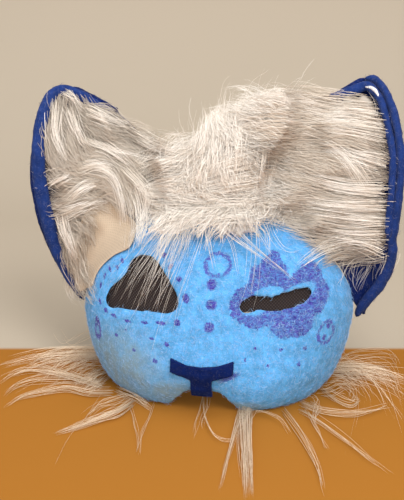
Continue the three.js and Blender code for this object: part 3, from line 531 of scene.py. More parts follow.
def apply_modifier(piece, kind, **values):
    """Adds a modifier, sets its values and applies it."""
    select_only(piece)
    modifier = piece.modifiers.new(kind.title(), kind)
    for key, value in values.items():
        setattr(modifier, key, value)
    bpy.ops.object.modifier_apply(modifier=modifier.name)


def points_of(piece):
    points = np.empty(len(piece.data.vertices) * 3)
    piece.data.vertices.foreach_get("co", points)
    return points.reshape(-1, 3)


def normals_of(piece):
    normals = np.empty(len(piece.data.vertices) * 3)
    piece.data.vertices.foreach_get("normal", normals)
    return normals.reshape(-1, 3)


def move_points(piece, points):
    piece.data.vertices.foreach_set("co", points.ravel())
    piece.data.update()


def smooth(piece):
    piece.data.polygons.foreach_set("use_smooth", np.ones(len(piece.data.polygons), bool))
    piece.data.update()


def neighbour_mean(values, pairs, count):
    """The mean of each point's neighbours along the mesh's edges."""
    ends = np.concatenate([pairs[:, 0], pairs[:, 1]])
    others = np.concatenate([pairs[:, 1], pairs[:, 0]])
    total = np.stack([np.bincount(ends, values[others, k], count) for k in range(values.shape[1])], 1)
    return total / np.maximum(np.bincount(ends, minlength=count), 1)[:, None]


def soften(piece, rounds, crisp=(0.9, 0.985), least=0.12, pull=0.5):
    """Smooths the broad surfaces and leaves cut edges crisp.

    crisp is how alike neighbouring normals are at an edge and on a surface, least how freely an edge moves
    and pull how far a point goes towards its neighbours in one round.
    """
    points = points_of(piece)
    count = len(points)
    pairs = np.empty(len(piece.data.edges) * 2, int)
    piece.data.edges.foreach_get("vertices", pairs)
    pairs = pairs.reshape(-1, 2)
    likeness = np.linalg.norm(neighbour_mean(normals_of(piece), pairs, count), axis=1, keepdims=True)
    free = np.clip((likeness - crisp[0]) / (crisp[1] - crisp[0]), 0, 1)
    free = least + (1 - least) * np.minimum(free, neighbour_mean(free, pairs, count))
    for _ in range(rounds):
        points += pull * free * (neighbour_mean(points, pairs, count) - points)
    move_points(piece, points)


def lumpy(piece, lumps):
    """Moves a piece's surface in and out by soft noise, one row of size and strength for each scale."""
    for scale, strength in lumps:
        texture = bpy.data.textures.new(piece.name + "_lumps", "CLOUDS")
        texture.noise_scale = scale
        texture.noise_depth = 2
        values = {"texture": texture, "texture_coords": "LOCAL", "strength": strength, "mid_level": 0.5}
        apply_modifier(piece, "DISPLACE", **values)
    smooth(piece)


def felted(node, name, grain, rounds, lump, nap):
    """A felt piece from a CAD node: remeshed, softened, and lumpy in a broad and in a fine scale."""
    piece = merged_copy(node, name)
    apply_modifier(piece, "REMESH", mode="VOXEL", voxel_size=grain)
    soften(piece, rounds)
    lumpy(piece, ((BROAD_LUMPS, lump), (FINE_LUMPS, nap)))
    return piece


def declare(piece, material, slot, *nodes):
    """Gives a piece its material and says which CAD nodes it stands for. slot is not used."""
    piece.data.materials.clear()
    piece.data.materials.append(material)
    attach(piece, "root")
    if nodes:
        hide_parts(*nodes)
    return piece


class Shader:
    """A material's node tree, with a short way to add and join nodes."""

    def __init__(self, name):
        self.material = bpy.data.materials.new(name)
        self.material.use_nodes = True
        self.tree = self.material.node_tree
        self.surface = self.tree.nodes["Principled BSDF"]

    def node(self, kind, inputs=None, **values):
        made = self.tree.nodes.new(kind)
        for key, value in values.items():
            setattr(made, key, value)
        for key, value in (inputs or {}).items():
            if isinstance(value, bpy.types.NodeSocket):
                self.tree.links.new(value, made.inputs[key])
            else:
                made.inputs[key].default_value = value
        return made

    def place(self):
        return self.node("ShaderNodeTexCoord").outputs["Object"]

    def math(self, operation, first, second=0.0):
        return self.node("ShaderNodeMath", {0: first, 1: second}, operation=operation).outputs[0]

    def vector_math(self, operation, first, second):
        return self.node("ShaderNodeVectorMath", {0: first, 1: second}, operation=operation).outputs[0]

    def noise(self, place, scale, detail=3.0, rough=0.55, bend=0.0):
        values = {"Vector": place, "Scale": scale, "Detail": detail, "Roughness": rough, "Distortion": bend}
        return self.node("ShaderNodeTexNoise", values)

    def ramp(self, value, low, high, start=0.0, end=1.0):
        values = {"Value": value, "From Min": low, "From Max": high, "To Min": start, "To Max": end}
        return self.node("ShaderNodeMapRange", values, interpolation_type="SMOOTHSTEP").outputs[0]

    def mix(self, share, first, second, blend="MIX"):
        made = self.node("ShaderNodeMix", data_type="RGBA", blend_type=blend)
        for socket, value in ((made.inputs[0], share), (made.inputs[6], first), (made.inputs[7], second)):
            if isinstance(value, bpy.types.NodeSocket):
                self.tree.links.new(value, socket)
            elif isinstance(value, (int, float)):
                socket.default_value = value
            else:
                socket.default_value = (*value, 1.0)
        return made.outputs[2]

    def stretched(self, place, scale, turn=(0, 0, 0)):
        return self.node("ShaderNodeMapping", {"Vector": place, "Scale": scale, "Rotation": turn}).outputs[0]

    def shaken(self, place, scale, reach):
        """The place moved about by noise, for wavering edges."""
        noise = self.noise(place, scale, 3, 0.6).outputs["Color"]
        centred = self.vector_math("SUBTRACT", noise, (0.5, 0.5, 0.5))
        return self.vector_math("ADD", place, self.vector_math("MULTIPLY", centred, (reach, reach, reach)))

    def set(self, **values):
        for key, value in values.items():
            name = key.replace("_", " ").title().replace("Ior", "IOR")
            if isinstance(value, bpy.types.NodeSocket):
                self.tree.links.new(value, self.surface.inputs[name])
            elif isinstance(value, tuple):
                self.surface.inputs[name].default_value = (*value, 1.0)
            else:
                self.surface.inputs[name].default_value = value
        return self.material

    def bump(self, height, distance, strength=1.0):
        values = {"Height": height, "Distance": distance, "Strength": strength}
        self.tree.links.new(self.node("ShaderNodeBump", values).outputs[0], self.surface.inputs["Normal"])


def oval_distance(shader, place, spots, middle):
    """The distance to the nearest oval, where 1 is its edge. Places are in millimetres from middle."""
    nearest = None
    for spot in spots:
        values = {
            "Vector": place,
            "Location": (middle + spot.x * MM, 0, spot.z * MM),
            "Rotation": (0, math.radians(spot.turn), 0),
            "Scale": (spot.rx * MM, 1000, spot.rz * MM),
        }
        mapping = shader.node("ShaderNodeMapping", values, vector_type="TEXTURE")
        length_of = shader.node("ShaderNodeVectorMath", {0: mapping.outputs[0]}, operation="LENGTH")
        away = length_of.outputs["Value"]
        if spot.line:
            away = shader.math("ABSOLUTE", shader.math("SUBTRACT", away, 1.0))
            away = shader.math("DIVIDE", away, spot.line)
        nearest = away if nearest is None else shader.math("MINIMUM", nearest, away)
    return nearest


def felt_fibres(shader, place, scale):
    """Tangled fibres: fine noise stretched two ways."""
    first = shader.noise(shader.stretched(place, (1, 1, 0.35), (0.3, 0.5, 0.4)), scale, 5, 0.65, 1.2)
    second = shader.noise(shader.stretched(place, (0.35, 1, 1), (0.9, 0.2, 1.1)), scale, 5, 0.65, 1.2)
    return shader.math("MULTIPLY", shader.math("ADD", first.outputs[0], second.outputs[0]), 0.5)


def felt_base(shader, place, colour, fibres, pale):
    """A felt's colour: mottled, with pale fibres on top and shade between them."""
    colour = np.array(colour)
    mottle = shader.noise(place, 170, 5, 0.65).outputs[0]
    base = shader.mix(shader.ramp(mottle, 0.34, 0.66), tuple(colour * 0.78), tuple(colour * 1.08))
    base = shader.mix(shader.ramp(fibres, 0.51, 0.66, 0, 0.6), base, tuple(colour + (1 - colour) * pale))
    return shader.mix(shader.ramp(fibres, 0.48, 0.36, 0, 0.6), base, tuple(colour * 0.5))


def felt_finish(shader, base, fibres, sheen):
    shader.bump(fibres, 0.6 * MM, 0.8)
    shader.set(base_color=base, roughness=0.95, sheen_weight=sheen, sheen_roughness=0.5)
    return shader.set(sheen_tint=(0.75, 0.85, 1.0), specular_ior_level=0.1)


def felt_material(name, colour, pale, sheen=0.12):
    shader = Shader(name)
    place = shader.place()
    fibres = felt_fibres(shader, place, FIBRE_SCALE)
    return felt_finish(shader, felt_base(shader, place, colour, fibres, pale), fibres, sheen)


def face_material():
    """Light blue felt with marker spots, rings, dashes, a patch round one eye, and dust and painted shade
    that grey it towards the lower left and the lower edge.
    """
    palette = colours()
    shader = Shader("face_felt")
    place = shader.place()
    low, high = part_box("face")
    middle = (low[0] + high[0]) / 2
    fibres = felt_fibres(shader, place, FIBRE_SCALE)
    base = felt_base(shader, place, palette.felt, fibres, 0.3)

    # Dust mixed with painted shade, greyer towards the lower left and the lower edge
    dust_and_shade = shader.ramp(oval_distance(shader, place, DUST_AND_SHADE, middle), 1.0, 0.25, 0, 0.9)
    drift = shader.noise(place, 90, 4, 0.65).outputs[0]
    dust_and_shade_share = shader.math("MULTIPLY", dust_and_shade, shader.ramp(drift, 0.3, 0.62, 0.5, 1.0))
    base = shader.mix(dust_and_shade_share, base, tuple(palette.dust_and_shade))

    fine = shader.shaken(place, FIBRE_SCALE, 3.0 * MM)
    wavy = shader.shaken(fine, 210, 7.0 * MM)
    spots = oval_distance(shader, fine, DOTS + EYE_DASHES + FRECKLES + OVALS, middle)
    rings = oval_distance(shader, shader.shaken(fine, 260, 2.5 * MM), RINGS, middle)
    dense = shader.ramp(fibres, 0.38, 0.52, 0.5, 1.0)
    blots = shader.noise(place, 420, 4, 0.7, 0.8).outputs[0]
    spot_ink = shader.math("MULTIPLY", shader.ramp(spots, 1.2, 0.75), dense)
    blotted = shader.ramp(blots, 0.36, 0.54, 0.15, 0.9)
    ring_ink = shader.math("MULTIPLY", shader.ramp(rings, 1.3, 0.4), blotted)
    patch = shader.ramp(oval_distance(shader, wavy, PATCH, middle), 1.05, 0.93)
    margin = shader.ramp(oval_distance(shader, fine, PATCH_MARGIN, middle), 0.88, 1.12)
    streaks = shader.noise(shader.stretched(place, (1, 1, 2.2), (0, 0.5, 0)), 430, 5, 0.72, 0.8).outputs[0]
    strokes = shader.ramp(streaks, 0.38, 0.6, 0.42, 1.0)
    patch_ink = shader.math("MULTIPLY", shader.math("MULTIPLY", patch, margin), strokes)
    smear = shader.math("MULTIPLY", shader.ramp(oval_distance(shader, fine, SMEAR, middle), 1.2, 0.5), 0.8)
    marks = shader.math("MAXIMUM", spot_ink, ring_ink)
    ink = shader.math("MAXIMUM", marks, shader.math("MAXIMUM", patch_ink, smear))
    dark = np.array(palette.ink)
    shade = shader.mix(shader.ramp(blots, 0.35, 0.62), tuple(dark * 0.7), tuple(dark * (1.9, 2.4, 1.25)))
    base = shader.mix(ink, base, shade)
    return felt_finish(shader, base, fibres, 0.15)


def threads(shader, place, thread):
    """The waves of a cloth's threads, across and up, each one thread wide."""
    parts = shader.node("ShaderNodeSeparateXYZ", {0: place})
    pitch = 2 * math.pi / thread
    return [shader.math("SINE", shader.math("MULTIPLY", parts.outputs[axis], pitch)) for axis in (0, 2)]


def mesh_material(thread=1.9 * MM):
    """Black woven mesh: a checked relief of threads that pass over and under."""
    shader = Shader("woven_mesh")
    weave = shader.math("MULTIPLY", *threads(shader, shader.place(), thread))
    black = np.array(colours().mesh)
    base = shader.mix(shader.ramp(weave, -0.3, 0.7), tuple(black), tuple(black * 5))
    shader.bump(weave, 0.25 * MM, 0.9)
    return shader.set(base_color=base, roughness=0.7, specular_ior_level=0.2)


def backing_material(thread=1.4 * MM):
    """Cream cloth with a faint open weave."""
    shader = Shader("backing_cloth")
    place = shader.place()
    open_weave = shader.math("MAXIMUM", *threads(shader, shader.shaken(place, 300, 1.0 * MM), thread))
    colour = np.array(colours().backing)
    soil = shader.noise(place, 120, 4, 0.6).outputs[0]
    base = shader.mix(shader.ramp(open_weave, -0.4, 0.6), tuple(colour * 0.86), tuple(colour))
    base = shader.mix(shader.ramp(soil, 0.55, 0.75, 0, 0.4), base, tuple(colour * 0.8))
    shader.bump(open_weave, 0.12 * MM, 0.6)
    return shader.set(base_color=base, roughness=0.9, specular_ior_level=0.15)


def strand_material(name, root, tip):
    """Strands of one colour at the root and another at the tip, with a tone of its own for each."""
    shader = Shader(name)
    tone = shader.node("ShaderNodeAttribute", attribute_name="tone").outputs["Fac"]
    along = shader.node("ShaderNodeAttribute", attribute_name="along").outputs["Fac"]
    base = shader.mix(shader.ramp(along, 0.0, 0.5), tuple(root), tuple(tip))
    shade = shader.node("ShaderNodeCombineColor", {0: tone, 1: tone, 2: tone}).outputs[0]
    base = shader.mix(1.0, base, shade, "MULTIPLY")
    return shader.set(base_color=base, roughness=0.6, specular_ior_level=0.2)


def fibre_material(name, colour, pale):
    """Loose felt fibres: the felt's own colour at the root and paler at the tip."""
    colour = np.array(colour)
    return strand_material(name, colour * 0.9, colour + (1 - colour) * pale)


def camera_axes():
    """The camera's place and its right, up and forward directions."""
    view = bpy.context.scene.mask_view
    azimuth, elevation = math.radians(view.azimuth), math.radians(view.elevation)
    flat = math.cos(elevation)
    back = np.array([math.sin(azimuth) * flat, -math.cos(azimuth) * flat, math.sin(elevation)])
    right = np.array([math.cos(azimuth), math.sin(azimuth), 0])
    return np.array(view.target) + back * view.distance, right, np.cross(right, -back), -back


def rays(pixels):
    """The directions from the camera through places in the photograph's pixels."""
    _, right, up, forward = camera_axes()
    pixels = np.asarray(pixels, float)
    across = (pixels[..., :1] - PHOTO["wide"] / 2) / PHOTO["focal"]
    down = (pixels[..., 1:2] - PHOTO["tall"] / 2) / PHOTO["focal"]
    return forward + across * right - down * up


def on_floor(pixels):
    """Where the photograph's pixels lie on the floor."""
    eye = camera_axes()[0]
    way = rays(pixels)
    return eye - way * (eye[2] / way[..., 2:])


class Depths:
    """How far back the solids' front lies in each of the photograph's pixels, filled in past them."""

    STEP = 2.5
    MARGIN = 50
    SPREAD_ROUNDS = 60
    EVEN_ROUNDS = 20

    def __init__(self, *nodes):
        eye = Vector(camera_axes()[0])
        trees = [BVHTree.FromPolygons(*self.shape(node)) for node in nodes]
        xs = np.arange(-self.MARGIN, PHOTO["wide"] + self.MARGIN, self.STEP)
        ys = np.arange(-self.MARGIN, PHOTO["tall"] + self.MARGIN, self.STEP)
        way = rays(np.stack(np.meshgrid(xs, ys), -1))
        depth = np.full(way.shape[:2], np.nan)
        for place in np.ndindex(depth.shape):
            hits = [tree.ray_cast(eye, Vector(way[place])) for tree in trees]
            found = [hit[0].y for hit in hits if hit[0] is not None]
            if found:
                depth[place] = min(found)
        self.depth = self.filled(depth)

    @staticmethod
    def shape(node):
        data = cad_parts[node].data
        return [v.co.copy() for v in data.vertices], [tuple(p.vertices) for p in data.polygons]

    @staticmethod
    def around(values):
        return sum(np.roll(values, shift, axis) for axis in (0, 1) for shift in (-1, 1))

    def filled(self, depth):
        """Spreads the known depths outwards, then evens out the steps between pieces."""
        known = ~np.isnan(depth)
        full = np.where(known, depth, np.nanmean(depth))
        weight = known.astype(float)
        for _ in range(self.SPREAD_ROUNDS):
            total, count = self.around(full * weight), self.around(weight)
            full = np.where((count > 0) & (weight == 0), total / np.maximum(count, 1e-9), full)
            weight = np.where(count > 0, 1.0, weight)
        for _ in range(self.EVEN_ROUNDS):
            full = np.minimum((full + self.around(full)) / 5, full)
        return full

    def at(self, pixels):
        column = np.clip((pixels[..., 0] + self.MARGIN) / self.STEP, 0, self.depth.shape[1] - 1.001)
        row = np.clip((pixels[..., 1] + self.MARGIN) / self.STEP, 0, self.depth.shape[0] - 1.001)
        c, r = column.astype(int), row.astype(int)
        right, down = column - c, row - r
        top = self.depth[r, c] * (1 - right) + self.depth[r, c + 1] * right
        low = self.depth[r + 1, c] * (1 - right) + self.depth[r + 1, c + 1] * right
        return top * (1 - down) + low * down

    def place(self, pixels, lift):
        """Points over the pixels, that far in front of the solids."""
        eye = camera_axes()[0]
        pixels = np.asarray(pixels, float)
        way = rays(pixels)
        return eye + way * ((self.at(pixels) - lift - eye[1]) / way[..., 1])[..., None]


def smooth_path(points, count):
    """Smooth curves through rows of a few points, at count even steps."""
    points = np.asarray(points, float)
    last = points.shape[-2] - 1
    first = 2 * points[..., :1, :] - points[..., 1:2, :]
    end = 2 * points[..., -1:, :] - points[..., -2:-1, :]
    padded = np.concatenate([first, points, end], -2)
    place = np.linspace(0, last, count)
    cell = np.minimum(place.astype(int), last - 1)
    t = (place - cell)[:, None]
    a, b, c, d = (padded[..., cell + k, :] for k in range(4))
    return 0.5 * (2 * b + (c - a) * t + (2 * a - 5 * b + 4 * c - d) * t**2 + (3 * b - a - 3 * c + d) * t**3)


def inside(outline, points):
    """Whether points lie inside a closed outline."""
    x, y = points[:, 0], points[:, 1]
    result = np.zeros(len(points), bool)
    for (x0, y0), (x1, y1) in zip(outline, outline[1:] + outline[:1]):
        result ^= ((y0 > y) != (y1 > y)) & (x < x0 + (x1 - x0) * (y - y0) / (y1 - y0 + 1e-12))
    return result


def scattered(random, outline, count):
    """Random places inside an outline."""
    low, high = np.min(outline, 0), np.max(outline, 0)
    found = np.empty((0, 2))
    while len(found) < count:
        tries = low + random.random((2 * count, 2)) * (high - low)
        found = np.concatenate([found, tries[inside(outline, tries)]])
    return found[:count]


def combed(guides, roots, count, blend=30):
    """Paths from roots that follow the nearest guides, which run together more with a greater blend."""
    lines = np.array(guides, float)
    apart = ((roots[:, None] - lines[None, :, 0]) ** 2).sum(-1)
    weight = 1 / (apart + blend) ** 2
    weight /= weight.sum(1, keepdims=True)
    run = (weight @ (lines - lines[:, :1]).reshape(len(lines), -1)).reshape(-1, 3, 2)
    return smooth_path(roots[:, None] + run, count)


def clumped(random, paths, hairs, root_spread, tip_spread, curl):
    """Hairs round the middle line of each lock, drawn together towards its tip."""
    locks, count, axes = paths.shape
    t = np.linspace(0, 1, count)[:, None]
    offset = random.normal(0, 1, (locks, hairs, 1, axes))
    width = root_spread * (1 - t) ** 1.2 + tip_spread * t**0.8
    phase = random.random((locks, hairs, 1, axes)) * 2 * math.pi
    turns = random.uniform(0.6, 2.0, (locks, hairs, 1, axes))
    wave = curl * t * np.sin(phase + turns * 2 * math.pi * t)
    own = random.normal(0, 0.5, (locks, hairs, 1, axes)) * tip_spread * t**2
    return (paths[:, None] + offset * width + wave + own).reshape(-1, count, axes)


def shortened(random, paths, shortest):
    """The same hairs at random lengths, down to a share of the whole."""
    hairs, count, _ = paths.shape
    place = np.linspace(0, 1, count)[None] * random.uniform(shortest, 1, (hairs, 1)) * (count - 1)
    cell = np.minimum(place.astype(int), count - 2)
    t = (place - cell)[..., None]
    row = np.arange(hairs)[:, None]
    return paths[row, cell] * (1 - t) + paths[row, cell + 1] * t


def write_attribute(data, name, values):
    data.attributes.new(name, "FLOAT", "POINT").data.foreach_set("value", np.asarray(values, np.float32))


def hair_mesh(name, paths, widths, tones, sides=2, facing=1.8):
    """Joins tapered hairs into one mesh: flat ribbons with two sides, or round hairs with three."""
    hairs, count, _ = paths.shape
    tangents = np.gradient(paths, axis=1)
    tangents /= np.maximum(np.linalg.norm(tangents, axis=2, keepdims=True), 1e-12)
    outwards = np.random.default_rng(hairs).normal(0, 1, (hairs, 3)) - facing * camera_axes()[3]
    side = np.cross(tangents[:, 0], outwards)
    t = np.linspace(0, 1, count)
    taper = 0.35 + 0.65 * np.sin(np.pi * (0.25 + 0.75 * t)).clip(0) ** 0.6
    rings = []
    for k in range(count - 1):
        side = side - tangents[:, k] * (side * tangents[:, k]).sum(1, keepdims=True)
        side /= np.maximum(np.linalg.norm(side, axis=1, keepdims=True), 1e-12)
        other = np.cross(tangents[:, k], side)
        radius = (widths / 2 * taper[k])[:, None]
        for turn in np.arange(sides) * 2 * math.pi / sides:
            rings.append(paths[:, k] + radius * (math.cos(turn) * side + math.sin(turn) * other))
    points = np.concatenate([np.stack(rings, 1), paths[:, -1:]], 1)
    each = sides * (count - 1) + 1
    walls = 1 if sides == 2 else sides
    quads = []
    for k in range(count - 2):
        for s in range(walls):
            low, next_low = sides * k + s, sides * k + (s + 1) % sides
            quads.append((low, next_low, next_low + sides, low + sides))
    last = sides * (count - 2)
    triangles = [(last + s, last + (s + 1) % sides, each - 1) for s in range(walls)]
    if sides > 2:
        triangles.append((2, 1, 0))
    starts = (np.arange(hairs) * each)[:, None]
    quad_corners = (starts[:, None] + np.array(quads)[None]).reshape(-1, 4)
    tri_corners = (starts[:, None] + np.array(triangles)[None]).reshape(-1, 3)
    corners = np.concatenate([quad_corners.ravel(), tri_corners.ravel()]).astype(np.int32)
    around = np.concatenate([np.full(len(quad_corners), 4), np.full(len(tri_corners), 3)])
    data = bpy.data.meshes.new(name)
    data.vertices.add(hairs * each)
    data.vertices.foreach_set("co", points.reshape(-1).astype(np.float32))
    data.loops.add(len(corners))
    data.loops.foreach_set("vertex_index", corners)
    data.polygons.add(len(around))
    data.polygons.foreach_set("loop_start", np.concatenate([[0], np.cumsum(around)[:-1]]).astype(np.int32))
    data.update(calc_edges=True)
    data.polygons.foreach_set("use_smooth", np.ones(len(around), bool))
    write_attribute(data, "along", np.tile(np.append(np.repeat(t[:-1], sides), 1.0), hairs))
    write_attribute(data, "tone", np.repeat(tones, each))
    piece = bpy.data.objects.new(name, data)
    bpy.context.scene.collection.objects.link(piece)
    return piece


def keep_largest(piece):
    """Leaves only the largest of a piece's separate parts."""
    shape = bmesh.new()
    shape.from_mesh(piece.data)
    left = set(shape.verts)
    parts = []
    while left:
        part, edge = set(), [left.pop()]
        while edge:
            vert = edge.pop()
            part.add(vert)
            for link in vert.link_edges:
                other = link.other_vert(vert)
                if other in left:
                    left.remove(other)
                    edge.append(other)
        parts.append(part)
    largest = max(parts, key=len)
    bmesh.ops.delete(shape, geom=[v for v in shape.verts if v not in largest], context="VERTS")
    shape.to_mesh(piece.data)
    shape.free()


def fur_pad(node, lowest, grain=2.2 * MM, sink=2.4 * MM, root_share=0.4, tone=0.82):
    """The fur's soft underlayer from its CAD node, drawn in a little under the hairs and coloured darker as
    painted shade between them.
    """
    piece = merged_copy(node, node)
    if lowest is not None:
        bpy.ops.object.mode_set(mode="EDIT")
        bpy.ops.mesh.select_all(action="SELECT")
        bpy.ops.mesh.bisect(plane_co=(0, 0, lowest), plane_no=(0, 0, 1), clear_inner=True, use_fill=True)
        bpy.ops.object.mode_set(mode="OBJECT")
    apply_modifier(piece, "REMESH", mode="VOXEL", voxel_size=grain)
    soften(piece, 6, (0.5, 0.9))
    move_points(piece, points_of(piece) - normals_of(piece) * sink)
    keep_largest(piece)
    smooth(piece)
    write_attribute(piece.data, "along", np.full(len(piece.data.vertices), root_share))
    write_attribute(piece.data, "tone", np.full(len(piece.data.vertices), tone))
    return piece


def joined(name, pieces):
    """Several objects joined into one."""
    bpy.ops.object.select_all(action="DESELECT")
    for piece in pieces:
        piece.select_set(True)
    bpy.context.view_layer.objects.active = pieces[0]
    bpy.ops.object.join()
    pieces[0].name = name
    pieces[0].data.name = name
    return pieces[0]


def tone_at(name, roots):
    """How light the fur is at places in the photograph, so that neighbouring coats run together, with painted
    shade in the hollow between an ear and the crown.
    """
    rows = TONES[name]
    across = np.interp(roots[:, 0], *rows["across"])
    down = np.interp(roots[:, 1], *rows["down"])
    away = ((roots - rows["hollow"]) / np.array(HOLLOW_REACH)) ** 2
    return across * down * (1 - HOLLOW_SHADE * np.exp(-away.sum(1)))


def coat(name, depths, guides, outline, hairs, lift, back, per_lock, spread, count=8, own_share=0.4):
    """A combed coat over the solids, from roots scattered in an outline of the photograph's pixels.

    Locks whose root is above the face may stand further back, for a coat with depth.
    """
    random = np.random.default_rng(SEEDS[name])
    locks = hairs // per_lock
    roots = scattered(random, outline, locks)
    lines = combed(guides, roots, count)
    reach = random.uniform(*LOCK_REACH, (locks, 1, 1))
    lines = lines[:, :1] + (lines - lines[:, :1]) * reach
    t = np.linspace(0, 1, count)
    lines += random.normal(0, TIP_WANDER, (locks, 1, 2)) * t[:, None]
    lines += random.normal(0, BOW_WANDER, (locks, 1, 2)) * np.sin(np.pi * t)[:, None]
    paths = shortened(random, clumped(random, lines, per_lock, *spread), SHORTEST_HAIR)
    layer = np.repeat(random.random((locks, 1)), per_lock, 0) * lift
    own = random.uniform(0.0, 1.0, (len(paths), 1)) * lift * own_share
    height = COAT_CLEARANCE + (layer + own) * np.sin(np.pi * np.clip(t, 0.04, 0.86)) ** 0.8
    places = depths.place(paths, height)
    behind = random.random(locks) ** 1.5 * back * (roots[:, 1] < CROWN_LEVEL)
    places[..., 1] += np.repeat(behind, per_lock)[:, None]
    tones = np.repeat(random.normal(0.98, 0.03, locks) * tone_at(name, roots), per_lock)
    tones += random.normal(0, 0.03, len(paths))
    widths = sizes().hair * random.uniform(0.7, 1.2, len(paths))
    return hair_mesh(name, places, widths, np.clip(tones, 0.5, 1.2))


def tufts(name, locks, place, lift, count=10, thin=1.0, sides=3, least=0.2, curl=1.3, shortest=0.6):
    """Single locks in the photograph's pixels. place turns pixels and heights into points."""
    random = np.random.default_rng(SEEDS[name])
    t = np.linspace(0, 1, count)
    paths, heights = [], []
    for lock in locks:
        line = smooth_path(np.array(lock.path, float)[None], count)
        hairs = clumped(random, line, lock.hairs, *lock.spread, curl)
        paths.append(shortened(random, hairs, shortest))
        rise = random.uniform(least, 1, (lock.hairs, 1)) * lift
        heights.append(rise * np.sin(np.pi * (0.25 + 0.65 * t)))
    paths, heights = np.concatenate(paths), np.concatenate(heights) + LOCK_CLEARANCE
    tones = np.clip(random.normal(0.98, 0.05, len(paths)), 0.7, 1.05)
    widths = thin * sizes().hair * random.uniform(0.6, 1.2, len(paths))
    return hair_mesh(name, place(paths, heights), widths, tones, sides)


def floor_place(paths, heights):
    places = on_floor(paths)
    places[..., 2] = heights
    return places


def laid_locks(node, side, locks, count=10, shortest=0.55, least=0.4 * MM, arch=3.4 * MM, thick=1.2 * MM):
    """Locks that fan out over the floor from the end of the rim beside a cheek."""
    random = np.random.default_rng(SEEDS[node])
    low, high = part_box("face")
    inset, behind, height = RIM_END
    rim = Vector((low[0] + inset if side < 0 else high[0] - inset, high[1] + behind, height))
    t = np.linspace(0, 1, count)
    made = []
    for lock in locks:
        beside = lock.beside * t + 4 * lock.bow * t * (1 - t)
        line = np.stack([rim.x + side * beside * MM, rim.y - lock.front * t**2 * MM, 0 * t], -1)
        paths = clumped(random, line[None], lock.hairs, *FLOOR_SPREAD)
        paths = shortened(random, paths, shortest)
        top = rim.z * (1 - t) ** 0.6 + arch * np.sin(np.pi * t) + thick
        paths[..., 2] = least + random.random((lock.hairs, 1)) * top
        made.append(paths)
    paths = np.concatenate(made)
    tones = np.clip(random.normal(0.96, 0.06, len(paths)), 0.7, 1.05)
    return hair_mesh(node, paths, sizes().hair * random.uniform(0.5, 1.0, len(paths)), tones)


def fuzz(piece, seed, count, usual, material, slot, hollow=None, steep=0.35):
    """Loose fibres that cling to a felt piece, all over it or on the side away from its hollow.

    usual is a fibre's length and steep how far it stands off as a share of that.
    """
    random = np.random.default_rng(SEEDS[seed])
    data = piece.data
    sides = len(data.polygons)
    centres, normals, areas = np.empty(sides * 3), np.empty(sides * 3), np.empty(sides)
    data.polygons.foreach_get("center", centres)
    data.polygons.foreach_get("normal", normals)
    data.polygons.foreach_get("area", areas)
    centres, normals = centres.reshape(-1, 3), normals.reshape(-1, 3)
    if hollow is not None:
        areas = areas * (((centres - np.array(hollow)) * normals).sum(1) > 0)
    chosen = random.choice(sides, count, p=areas / areas.sum())
    start, normal = centres[chosen], normals[chosen]
    along = np.cross(normal, random.normal(0, 1, (count, 3)))
    along /= np.linalg.norm(along, axis=1, keepdims=True)
    bend = np.cross(normal, along) * random.normal(0, 0.5, (count, 1))
    reach = usual * random.uniform(0.4, 1.3, (count, 1, 1))
    rise = random.uniform(0.1, 0.9, (count, 1, 1)) ** 2 * steep * reach
    t = np.linspace(0, 1, 5)[:, None]
    flat = (along[:, None] * t + bend[:, None] * t**2) * reach
    paths = start[:, None] + flat + normal[:, None] * (rise * np.sin(np.pi * t * 0.8) + FIBRE_CLEARANCE)
    paths[..., 2] = np.maximum(paths[..., 2], FLOOR_CLEARANCE)
    widths = sizes().fuzz * random.uniform(0.6, 1.4, count)
    fibres = hair_mesh(piece.name + "_fuzz", paths, widths, random.uniform(0.8, 1.05, count))
    return declare(fibres, material, slot)


def grid_mesh(name, rows, around=False):
    """A mesh through rows of points, closed round each row and at both ends if around is set."""
    shape = bmesh.new()
    verts = [[shape.verts.new(point) for point in row] for row in rows]
    columns = len(verts[0])
    for one, two in zip(verts, verts[1:]):
        for k in range(columns if around else columns - 1):
            shape.faces.new((one[k], one[(k + 1) % columns], two[(k + 1) % columns], two[k]))
    if around:
        shape.faces.new(verts[0][::-1])
        shape.faces.new(verts[-1])
    bmesh.ops.recalc_face_normals(shape, faces=shape.faces)
    data = bpy.data.meshes.new(name)
    shape.to_mesh(data)
    shape.free()
    piece = bpy.data.objects.new(name, data)
    bpy.context.scene.collection.objects.link(piece)
    return piece


def rolled(name, depths, rows, lift, thick, material, node, steps=60, sides=12, blunt=24, narrowest=0.05):
    """A soft strip along a line of the photograph's pixels, rounded across and at both ends.

    A greater blunt closes the ends in a shorter way, down to the narrowest share of the strip.
    """
    table = smooth_path(rows, steps)
    spine = depths.place(table[:, :2], lift)
    eye, _, _, forward = camera_axes()
    scale = np.linalg.norm(spine - eye, axis=1) / PHOTO["focal"]
    tangents = np.gradient(spine, axis=0)
    tangents /= np.linalg.norm(tangents, axis=1, keepdims=True)
    across = np.cross(tangents, forward)
    across /= np.linalg.norm(across, axis=1, keepdims=True)
    out = np.cross(across, tangents)
    t = np.linspace(0, 1, steps)
    closing = np.maximum(np.sqrt(np.clip(1 - np.abs(2 * t - 1) ** blunt, 0, 1)), narrowest)[:, None]
    half = (table[:, 2] * scale / 2)[:, None] * closing
    turn = np.linspace(0, 2 * math.pi, sides, endpoint=False)[None, :, None]
    ring = spine[:, None] + np.cos(turn) * (across * half)[:, None]
    ring = ring + np.sin(turn) * (out * closing * thick / 2)[:, None]
    piece = grid_mesh(name, ring, True)
    apply_modifier(piece, "SUBSURF", levels=1, render_levels=1)
    lumpy(piece, HEM_LUMPS)
    return declare(piece, material, "navy_felt", node)


